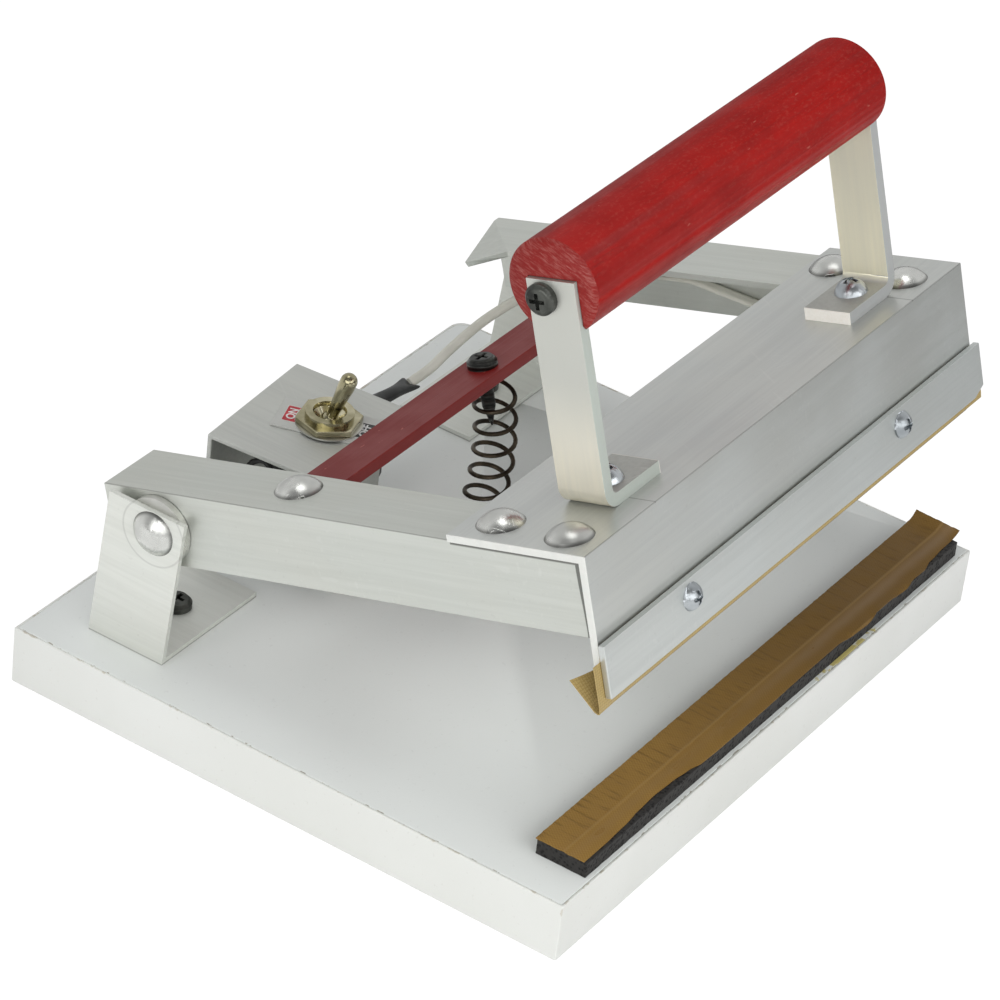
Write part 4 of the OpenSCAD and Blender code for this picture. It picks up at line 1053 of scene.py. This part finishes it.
make_spring()


# ---- foam pad and its tape

PAD_LEFT, PAD_RIGHT = -77.75, 84.75
PAD_FRONT, PAD_REAR = -73.4, -60.0
PAD_TOP, PAD_THICK = 19.0, 4.0
PAD_CUTS = (90, 7, 4)


def make_foam():
    """The foam strip, cut into a fine grid so that its sides can be rough."""
    obj = box("foam_pad", (PAD_RIGHT - PAD_LEFT, PAD_REAR - PAD_FRONT, PAD_THICK),
              at((PAD_LEFT + PAD_RIGHT) / 2, (PAD_FRONT + PAD_REAR) / 2, PAD_TOP - PAD_THICK / 2))
    mesh = editing(obj)
    for axis, count in enumerate(PAD_CUTS):
        places = [v.co[axis] for v in mesh.verts]
        low, high = min(places), max(places)
        normal = Vector([1.0 if k == axis else 0.0 for k in range(3)])
        for k in range(1, count):
            select_all()
            ops.bisect(plane_co=normal * (low + (high - low) * k / count), plane_no=normal)
        mesh = bmesh.from_edit_mesh(obj.data)
    for v in mesh.verts:
        p = v.co / MM
        inner_z = 15.05 < p.z < 18.95
        rub_x, rub_y = wobble(p.x * 0.7, p.y, p.z), wobble(p.y, p.z * 1.3, p.x * 0.5)
        if abs(p.y - PAD_FRONT) < 0.01 or abs(p.y - PAD_REAR) < 0.01:
            side = 1 if p.y < -66 else -1
            v.co.y += side * (0.12 + 0.14 * abs(rub_y) + (0.1 if inner_z else 0.0)) * MM
        if abs(p.x - PAD_LEFT) < 0.01 or abs(p.x - PAD_RIGHT) < 0.01:
            side = 1 if p.x < 0 else -1
            v.co.x += side * (0.1 + 0.2 * abs(rub_x)) * MM
    bmesh.update_edit_mesh(obj.data)
    pick_edges(obj, sharp(50, 0.2))
    bevel(0.25, 2, clamp=True)
    done(obj)
    smooth(obj, 40)
    paint(obj, foam_skin)
    stand_for(obj, "foam_strip")


def make_sheet(name, points, flat, rows, face_up, thick, offset, degrees, material):
    """A tape from rows of points, each with its place on the flat tape in metres."""
    corners = (0, rows, rows + 1, 1) if face_up else (0, 1, rows + 1, rows)
    faces = [tuple(i * rows + k + c for c in corners)
             for i in range(len(points) // rows - 1) for k in range(rows - 1)]
    obj = own_mesh(name, points, faces)
    layer = obj.data.uv_layers.new(name="cloth")
    for loop in obj.data.loops:
        layer.data[loop.index].uv = flat[loop.vertex_index]
    thicken(obj, thick, offset)
    smooth(obj, degrees)
    paint(obj, material)
    return obj


FRONT_EDGE = ((-78, 0.9), (-69, 0.95), (-61.8, 1.2), (-54.2, 1.8), (-48.2, 2.1), (-40.7, 1.8), (-35.3, 1.2),
              (-30.7, 0.3), (-24, 0.1), (-10, 0.1), (15, 0.35), (28, 0.35), (35, -0.3), (41.5, -0.6), (45.5, 0.1),
              (52, 0.1), (58.7, -0.25), (64, 0.35), (68, 0.2), (73, 1.1), (80, 1.5), (88, 1.5))


def front_edge(x):
    """How far the tape's front edge lies behind the foam's, below 0 where it hangs over."""
    for (a, low), (b, high) in zip(FRONT_EDGE, FRONT_EDGE[1:]):
        if x <= b:
            t = min(max((x - a) / (b - a), 0.0), 1.0)
            return low + (high - low) * t * t * (3 - 2 * t)
    return FRONT_EDGE[-1][1]


def make_pad_tape():
    """The brown tape on the foam: wavy at the front, frayed at the rear and curled at its right end."""
    across, along = 16, 210
    right = PAD_RIGHT + 2.5
    width = PAD_REAR - PAD_FRONT
    points, flat = [], []
    for i in range(along + 1):
        for k in range(across + 1):
            t, s = i / along, k / across
            x = PAD_LEFT + (right - PAD_LEFT) * t
            over = front_edge(x)
            back = max(over, 0.0)
            y = PAD_FRONT + back + (width - back) * s
            z = PAD_TOP + 0.1
            if k == 0:
                z += min(over, 0.0) * 1.3
                y += 0.05 * wobble(x * 0.6, 2.0) + (-0.16 if over < 0.05 else 0.0)
            elif k == 1:
                y = PAD_FRONT + back + 0.1
            elif s < 0.4:
                z += 0.12 * back * (1 - s / 0.4)
            ridge = max(0.0, 1 - abs(s - 0.46) / 0.1)
            z += 0.16 * ridge
            if s > 0.5:
                z += 0.1 * max(0.0, wobble(x * 0.9, s * 2.0)) * (1 if k < across else 0)
            if s == 1.0:
                y += 0.16 * wobble(x * 1.9, 5.0) + 0.1
            past = max(0.0, x - PAD_RIGHT + 2.0)
            z += past * past * (0.05 + 0.03 * s)
            z += 0.03 * wobble(x * 0.25, y * 0.4, 1.0)
            if i in (0, along):
                x += 0.25 * wobble(y * 0.9, 7.0 + t)
            points.append(at(x, y, z))
            flat.append((x * MM, (y - PAD_FRONT) * MM))
    obj = make_sheet("brown_pad_tape", points, flat, across + 1, True, 0.16, 1.0, 45, pad_cloth)
    stand_for(obj, "pad_tape")


make_foam()
make_pad_tape()


# ---- tapes on the jaw's edge

JAW_LEFT = -76.0
FLARE_LENGTH = 14.0


def folded_tape(name, profile, left, right, columns, thick, material, node, flare=0.0):
    """A tape folded round the jaw's edge, from a profile of reach and height."""
    lengths = [0.0]
    for a, b in zip(profile, profile[1:]):
        lengths.append(lengths[-1] + math.dist(a, b))
    fold = lengths[len(profile) // 2]
    points, flat = [], []
    for i in range(columns + 1):
        x = left + (right - left) * i / columns
        near = max(0.0, 1 - (x - left) / FLARE_LENGTH) if flare else 0.0
        for k, (reach, up) in enumerate(profile):
            back = max(0.0, lengths[k] - fold) / (lengths[-1] - fold)
            r = reach - flare * near * near * back
            if reach < 116.3:
                r += (116.1 - reach) * near * near * (1 - back)
            if flare and x < JAW_LEFT:
                up = min(up, -13.3)
            u = up + 0.12 * wobble(x * 0.13, k * 0.4) * (0.3 + back)
            r += 0.1 * wobble(x * 0.09, 3.0 + k * 0.3) * back
            points.append(on_jaw(x, r, u))
            flat.append((x * MM, lengths[k] * MM))
    obj = make_sheet(name, points, flat, len(profile), False, thick, 0.0, 40, material)
    stand_for(obj, node)


folded_tape("edge_insulation_fold",
            [(116.15, -10.6), (116.15, -14.0), (116.15, -19.0), (116.15, -23.5), (115.9, -23.85),
             (115.1, -23.85), (114.3, -23.85), (114.05, -23.5), (114.05, -20.5), (114.05, -17.3)],
            -72.5, 79.5, 60, 0.2, under_cloth, "edge_insulation")
folded_tape("jaw_edge_tape",
            [(116.4, -10.6), (116.4, -14.0), (116.4, -19.0), (116.42, -22.6), (116.3, -24.0), (115.8, -24.45),
             (115.1, -24.5), (114.3, -24.45), (113.7, -24.1), (113.45, -22.5), (113.45, -20.0), (113.45, -17.3)],
            -79.2, 84.75, 130, 0.15, jaw_cloth, "element_tape", flare=3.7)


# ---- taped end of the lead

# along the housing, width, thickness and middle
SLEEVE = ((13.3, 5.0, 3.6, 0.6), (18.5, 5.2, 3.4, 0.3), (21.5, 5.2, 3.2, 0.0), (25.5, 4.6, 3.0, -0.6),
          (29.5, 3.7, 2.7, -1.5), (33.0, 3.9, 2.3, -2.2), (35.4, 4.8, 1.9, -2.7), (37.0, 5.8, 1.5, -3.0))
SLEEVE_UP, SLEEVE_SIDES = 23.0, 20


def make_sleeve():
    """Black tape round the lead, wide at the housing and split into two tips at its end."""
    rings = []
    for i, (x, wide, thick, middle) in enumerate(SLEEVE):
        split = max(0.0, (i - len(SLEEVE) + 3) / 2)
        ring = []
        for k in range(SLEEVE_SIDES):
            a = 2 * math.pi * k / SLEEVE_SIDES
            s, u = math.cos(a), math.sin(a)
            pull = split * (4.0 * abs(s) ** 2.2 - 2.0)
            z = SLEEVE_UP + thick / 2 * u + 0.3 * s * split
            ring.append(in_housing(x + pull, middle + wide / 2 * s, z) * MM)
        rings.append(ring)
    obj = skin_rings("taped_lead_end", rings)
    detail = obj.modifiers.new("rounding", "SUBSURF")
    detail.levels = detail.render_levels = 1
    apply_all(obj)
    smooth(obj, 60)
    paint(obj, taped_black)
    stand_for(obj, "lead_sleeve")


make_sleeve()


# ---- print on the switch plate

PLATE_TOP = 44.41
PRINT_THICK = 0.03
PRINT_OFF = 8.9


def flat_patch(name, wide, deep, along, low, material):
    """A thin printed patch with round corners on the switch plate."""
    middle = on_switch(0, along, low + PRINT_THICK / 2)
    obj = box(name, (wide, deep, PRINT_THICK), middle, SWITCH_TURN)
    editing(obj)
    pick_edges(obj, lambda e: abs((e.verts[0].co - e.verts[1].co).z) > HAIR)
    bevel(0.3, 3)
    done(obj)
    paint(obj, material)
    go_with(obj, "on_off_plate")


def letters(text, along, low, size):
    """White letters as a mesh, lying on a patch."""
    act.text_add()
    obj = bpy.context.object
    obj.data.body = text
    obj.data.size = size * MM
    obj.data.align_x = obj.data.align_y = "CENTER"
    obj.data.extrude = 0.02 * MM
    obj.data.offset = 0.06 * MM
    only(obj)
    act.convert(target="MESH")
    obj = bpy.context.object
    obj.name = "letters_" + text.lower()
    obj.rotation_euler = (0, 0, SWITCH_TURN)
    obj.location = on_switch(0, along, low + 0.02)
    settle(obj)
    paint(obj, print_white)
    go_with(obj, "on_off_plate")


for text, along, ink in (("ON", PRINT_OFF, patch_red), ("OFF", -PRINT_OFF, patch_black)):
    flat_patch("border_" + text.lower(), 6.8, 3.9, along, PLATE_TOP, print_border)
    flat_patch("patch_" + text.lower(), 6.3, 3.4, along, PLATE_TOP + PRINT_THICK, ink)
    letters(text, along, PLATE_TOP + 2 * PRINT_THICK, 2.9)


# ---- studio

LAMP_AIM = Vector((0, 0, 0.04))
WHITE = (1, 1, 1, 1)


def softbox(name, place, size, power):
    data = bpy.data.lights.new(name, "AREA")
    data.shape = "RECTANGLE"
    data.size, data.size_y = size
    data.energy = power
    lamp = bpy.data.objects.new(name, data)
    scene.collection.objects.link(lamp)
    lamp.location = place
    lamp.rotation_euler = (LAMP_AIM - Vector(place)).to_track_quat("-Z", "Y").to_euler()


def open_to_view(n, path):
    """1 for rays that see the background directly, in metal or through glass."""
    both = n.larger(path["Is Camera Ray"], path["Is Glossy Ray"])
    return n.larger(both, path["Is Transmission Ray"])


def in_metal(n, path, level):
    """White straight on, and the given level where a shiny surface sees it."""
    return n.minus(1.0, n.times(n.minus(1.0, level), path["Is Glossy Ray"]))


def light_studio():
    """A white studio, greyer to the right and dim behind the camera, with three soft lamps."""
    world = bpy.data.worlds.new("studio_world")
    scene.world = world
    world.use_nodes = True
    n = Nodes(world.node_tree)
    n.tree.nodes.clear()
    path = n.put("LightPath")
    way = n.put("TexCoord")["Generated"]
    right = n.span(n.dot(way, (0.62, 0.62, 0.48)), 0.2, 0.85, 1.0, 0.72)
    behind = n.span(n.dot(way, (-0.71, -0.42, 0.56)), 0.05, 0.7, 1.0, 0.22)
    east = n.span(n.split(way)[0], 0.2, 0.75, 1.0, 0.72)
    level = n.times(n.smaller(right, east), behind)
    fill = n.put("Background", {"Color": (0.97, 0.985, 1.0, 1.0), "Strength": 0.41})[0]
    white = n.put("Background", {"Color": WHITE, "Strength": in_metal(n, path, level)})[0]
    both = n.put("MixShader", {0: open_to_view(n, path), 1: fill, 2: white})[0]
    n.put("OutputWorld", {0: both})
    softbox("left_softbox", (-0.95, -0.15, 0.5), (1.1, 0.7), 5.75)
    softbox("front_softbox", (-0.25, -0.95, 0.5), (1.1, 0.7), 5.0)
    softbox("top_softbox", (0.1, 0.3, 1.6), (0.7, 0.7), 3.3)


def lay_floor():
    """A white floor that glows for the camera and is greyer in metal to the right."""
    floor = fresh("studio_floor", ops.primitive_plane_add, size=8.0, location=(0, 0, -0.0002))
    settle(floor)
    f = Finish("white_floor")
    cloud, _ = f.clouds(3.0)
    f.link(Base_Color=f.mix(cloud, (0.9, 0.9, 0.9, 1), (0.92, 0.92, 0.92, 1)), Roughness=0.9)
    path = f.put("LightPath")
    level = f.span(f.split(f.v)[0], 0.05, 0.36, 0.9, 0.15)
    glow = f.put("Emission", {"Color": WHITE, "Strength": f.times(in_metal(f, path, level), 1.15)})[0]
    share = f.times(open_to_view(f, path), 0.8)
    seen = f.put("MixShader", {0: share, 1: f.shader.outputs[0], 2: glow})[0]
    f.feed(f.tree.nodes["Material Output"].inputs["Surface"], seen)
    paint(floor, f.material)


light_studio()
lay_floor()
